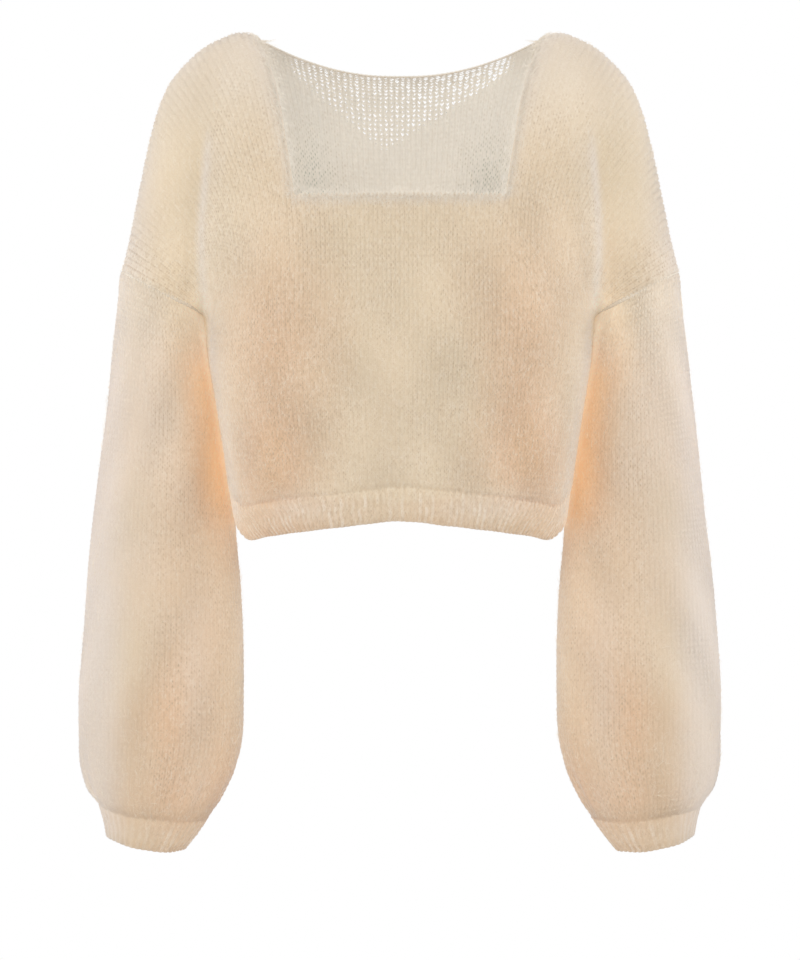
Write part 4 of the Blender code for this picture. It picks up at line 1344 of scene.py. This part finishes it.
def make_nap(name, frames, count, material, seed, lift=2.0, length=6.5, width=0.20):
    """A nap of short curved hairs, each a ribbon of two lengths that leans over the cloth.

    frames gives points, normals and two tangents at random places. A hair starts just under the
    surface, runs along a slanting tangent and rises by lift, most of it in its first half.
    """
    point, normal, across, onward = frames
    rng = np.random.default_rng(seed)
    turn = rng.uniform(0, 2 * np.pi, count)
    turn = np.where(rng.random(count) < 0.45, rng.normal(-np.pi / 2, 0.5, count), turn)
    heading = np.cos(turn)[:, None] * across + np.sin(turn)[:, None] * onward
    sideways = unit(np.cross(normal, heading))
    reach = length * MM * rng.uniform(0.45, 1.25, count)
    rise = lift * MM * rng.uniform(0.15, 1.0, count) ** 1.6
    bend = reach * rng.uniform(-0.35, 0.35, count)
    roll = rng.uniform(0, np.pi, count)
    broad = np.cos(roll)[:, None] * sideways + np.sin(roll)[:, None] * normal
    half = width / 2 * MM * rng.uniform(0.6, 1.2, count)
    rows = []
    for share, up, taper in ((0.0, -0.15, 1.0), (0.5, 0.72, 0.8), (1.0, 1.0, 0.25)):
        spine = point + (reach * share)[:, None] * heading + (rise * up)[:, None] * normal
        spine = spine + (bend * share**2)[:, None] * sideways
        rows.append(spine - (half * taper)[:, None] * broad)
        rows.append(spine + (half * taper)[:, None] * broad)
    points = np.stack(rows, axis=1)
    base = np.arange(count)[:, None, None] * 6
    quads = (base + np.array([[0, 1, 3, 2], [2, 3, 5, 4]])[None]).reshape(-1, 4)
    rise_value = np.tile([0.0, 0.0, 0.5, 0.5, 1.0, 1.0], count)
    own = np.repeat(rng.random(count), 6)
    return build_mesh(name, points.reshape(-1, 3), quads, material, None, {"rise": rise_value, "own": own})


# ---------------------------------------------------------------- build

front_form, front_cloth = make_panel("front_knit_cloth", True, front_knit, front_painted_light_and_tone)
back_form, back_cloth = make_panel("back_knit_cloth", False, back_knit, front_painted_light_and_tone)
sleeves = {}
for label, side in (("left", 1), ("right", -1)):
    sleeves[label] = make_sleeve(f"{label}_sleeve_cloth", side, sleeve_knit)
    make_cuff(f"{label}_cuff_rib", side, rib_knit)
make_hem("hem_rib", rib_knit)


def neck_path():
    """The front neck edge, half a wale outside it: down, across the foot of the square and up."""
    side = NECK_WALES + 0.5
    down = np.linspace(front_form.top_course, front_form.neck_course - 0.05, 150)
    foot = np.linspace(-side + 0.45, side - 0.45, 190)
    wale = np.concatenate([np.full(150, -side), foot, np.full(150, side)])
    course = np.concatenate([down, np.full(190, front_form.neck_course - 0.5), down[::-1]])
    return wale.astype(float), course


wale, course = neck_path()
point, normal, _, _ = front_form.at_stitch(wale, course)
front_edge = make_roll("front_neck_edge", point - 2.5 * MM * normal, normal, 0.9 * MM, 8, edge_yarn)
wale = np.linspace(-NECK_WALES, NECK_WALES, 300)
point, normal, _, _ = back_form.at_stitch(wale, np.full(300, float(back_form.top_course)))
back_edge = make_roll("back_neck_edge", point - 1.0 * MM * normal, normal, 0.9 * MM, 8, edge_yarn)

for label, side in (("left", 1), ("right", -1)):
    angle = np.linspace(0, 2 * np.pi, 240, endpoint=False)
    ring = ring_points(SLEEVE, np.zeros(240), angle, side)
    middle = ring.mean(axis=0)
    outward = unit(ring - middle)
    inset = 3.6 - 1.3 * smoothstep((205 - side * ring[:, 0] / MM) / 20)
    ring = ring - inset[:, None] * MM * outward
    make_roll(f"{label}_armhole_seam", ring, outward, 1.8 * MM, 10, seam_yarn_painted_shade, closed=True)

NAP_COUNTS = {"front": 12500, "back": 10500, "sleeve": 9000, "neck": 9000, "side": 4000}


def panel_nap(name, form, front, count, seed):
    """Hairs at random stitches of a panel, none in the neck square and few where the back is open."""
    rng = np.random.default_rng(seed)
    wale = rng.uniform(-HALF_WALES, HALF_WALES, 2 * count)
    course = rng.uniform(0, form.top_course, 2 * count)
    in_square = (np.abs(wale) < NECK_WALES) & (course > form.neck_course)
    wanted = ~in_square if front else ~in_square | (rng.random(2 * count) < 0.35)
    wale, course = wale[wanted][:count], course[wanted][:count]
    point, normal, across, onward = form.at_stitch(wale, course)
    frames = (point - SHELL_INSET * normal, normal, across, onward)
    return make_nap(name, frames, len(wale), nap_hair, seed + 1)


def sleeve_nap(name, form, count, seed):
    """Hairs at random stitches of a sleeve."""
    rng = np.random.default_rng(seed)
    row = rng.uniform(0, 72, count)
    column = rng.uniform(0, 112, count)
    point, normal, across, onward = form.frame_at(row, column)
    frames = (point - SHELL_INSET * normal, normal, across, onward)
    return make_nap(name, frames, count, nap_hair, seed + 1)


def edge_nap(name, count, seed):
    """Paler hairs along the front neck edge."""
    rng = np.random.default_rng(seed)
    wale, course = neck_path()
    pick = rng.integers(0, len(wale), count)
    side_way = rng.normal(0, 0.8, count)
    point, normal, across, onward = front_form.at_stitch(wale[pick] + side_way, course[pick] + 0.8 * side_way)
    frames = (point - 0.6 * MM * normal, normal, across, onward)
    return make_nap(name, frames, count, pale_hair, seed + 1, lift=1.6, length=5.0, width=0.20)


def side_edge_nap(name, count, seed):
    """Paler hairs along the body's two side edges, where the nap is seen standing out."""
    rng = np.random.default_rng(seed)
    wale = rng.uniform(NECK_WALES, HALF_WALES, 12 * count) * rng.choice([-1, 1], 12 * count)
    course = rng.uniform(2, front_form.top_course - 12, 12 * count)
    point, normal, across, onward = front_form.at_stitch(wale, course)
    wanted = bump(edge_distance(point), 0.5, 3.5) > rng.random(12 * count)
    wanted &= point[:, 2] < -85 * MM
    picked = np.flatnonzero(wanted)[:count]
    frames = [part[picked] for part in (point - 0.6 * MM * normal, normal, across, onward)]
    return make_nap(name, frames, len(picked), pale_hair, seed + 1, lift=1.6, length=5.0, width=0.20)


front_nap = panel_nap("front_nap", front_form, True, NAP_COUNTS["front"], 61)
back_nap = panel_nap("back_nap", back_form, False, NAP_COUNTS["back"], 63)
neck_nap = edge_nap("neck_nap", NAP_COUNTS["neck"], 65)
side_nap = side_edge_nap("side_edge_nap", NAP_COUNTS["side"], 71)
sleeve_naps = {
    label: sleeve_nap(f"{label}_sleeve_nap", sleeves[label][0], NAP_COUNTS["sleeve"], 67 + k)
    for k, label in enumerate(("left", "right"))
}

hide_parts("front_panel")
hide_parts("back_panel")
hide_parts("hem_band")
for label in ("left", "right"):
    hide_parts(f"{label}_sleeve")
    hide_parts(f"{label}_cuff")

# ---------------------------------------------------------------- stage, light, camera


def make_floor():
    """A plain pale floor well below the hanging cuffs."""
    corners = np.array([(-1.6, -1.6), (1.6, -1.6), (1.6, 1.6), (-1.6, 1.6)])
    points = np.column_stack([corners, np.full(4, -1.30)])
    mesh = bpy.data.meshes.new("floor")
    mesh.from_pydata(points.tolist(), [], [(0, 1, 2, 3)])
    mesh.materials.append(plain_paint("pale_floor", (0.86, 0.86, 0.86), 0.7, 40.0, 0.1))
    floor = bpy.data.objects.new("floor", mesh)
    bpy.context.scene.collection.objects.link(floor)


def area_light(name, place, target, size, power, colour):
    """A soft rectangular studio light that points from place to target."""
    lamp = bpy.data.lights.new(name, "AREA")
    lamp.shape = "RECTANGLE"
    lamp.size, lamp.size_y = size
    lamp.energy = power
    lamp.color = colour
    thing = bpy.data.objects.new(name, lamp)
    aim(thing, place, target)
    bpy.context.scene.collection.objects.link(thing)


def aim(thing, place, target):
    """Puts a light or camera at a place, looking at a target."""
    thing.location = place
    thing.rotation_euler = (Vector(target) - Vector(place)).to_track_quat("-Z", "Y").to_euler()


make_floor()
world = bpy.data.worlds.new("studio")
world.use_nodes = True
world.node_tree.nodes["Background"].inputs[0].default_value = (1.0, 1.0, 1.0, 1.0)
world.node_tree.nodes["Background"].inputs[1].default_value = 1.0
bpy.context.scene.world = world
area_light("key", (-0.5, -3.0, 0.9), (0, 0, -0.30), (1.6, 1.6), 22.0, (1.0, 0.99, 0.97))
area_light("left_strip", (-2.0, 0.3, -0.2), (0, 0, -0.35), (0.8, 1.8), 7.5, (0.88, 0.94, 1.0))
area_light("right_strip", (2.0, 0.3, -0.2), (0, 0, -0.35), (0.8, 1.8), 8.5, (0.88, 0.94, 1.0))

PIXEL = 0.855 * MM
IMAGE_ROWS = 960
SHOULDER_ROW = 33
CAMERA_DISTANCE = 4.0
CAMERA_HEIGHT = (SHOULDER_ROW - IMAGE_ROWS / 2) * PIXEL

lens = bpy.data.cameras.new("photo_camera")
lens.sensor_fit = "VERTICAL"
lens.sensor_height = 24
lens.lens = lens.sensor_height * CAMERA_DISTANCE / (IMAGE_ROWS * PIXEL)
camera = bpy.data.objects.new("photo_camera", lens)
aim(camera, (0, -CAMERA_DISTANCE, CAMERA_HEIGHT), (0, 0, CAMERA_HEIGHT))
bpy.context.scene.collection.objects.link(camera)
bpy.context.scene.camera = camera
bpy.context.scene.view_settings.view_transform = "Standard"
bpy.context.scene.view_settings.look = "None"
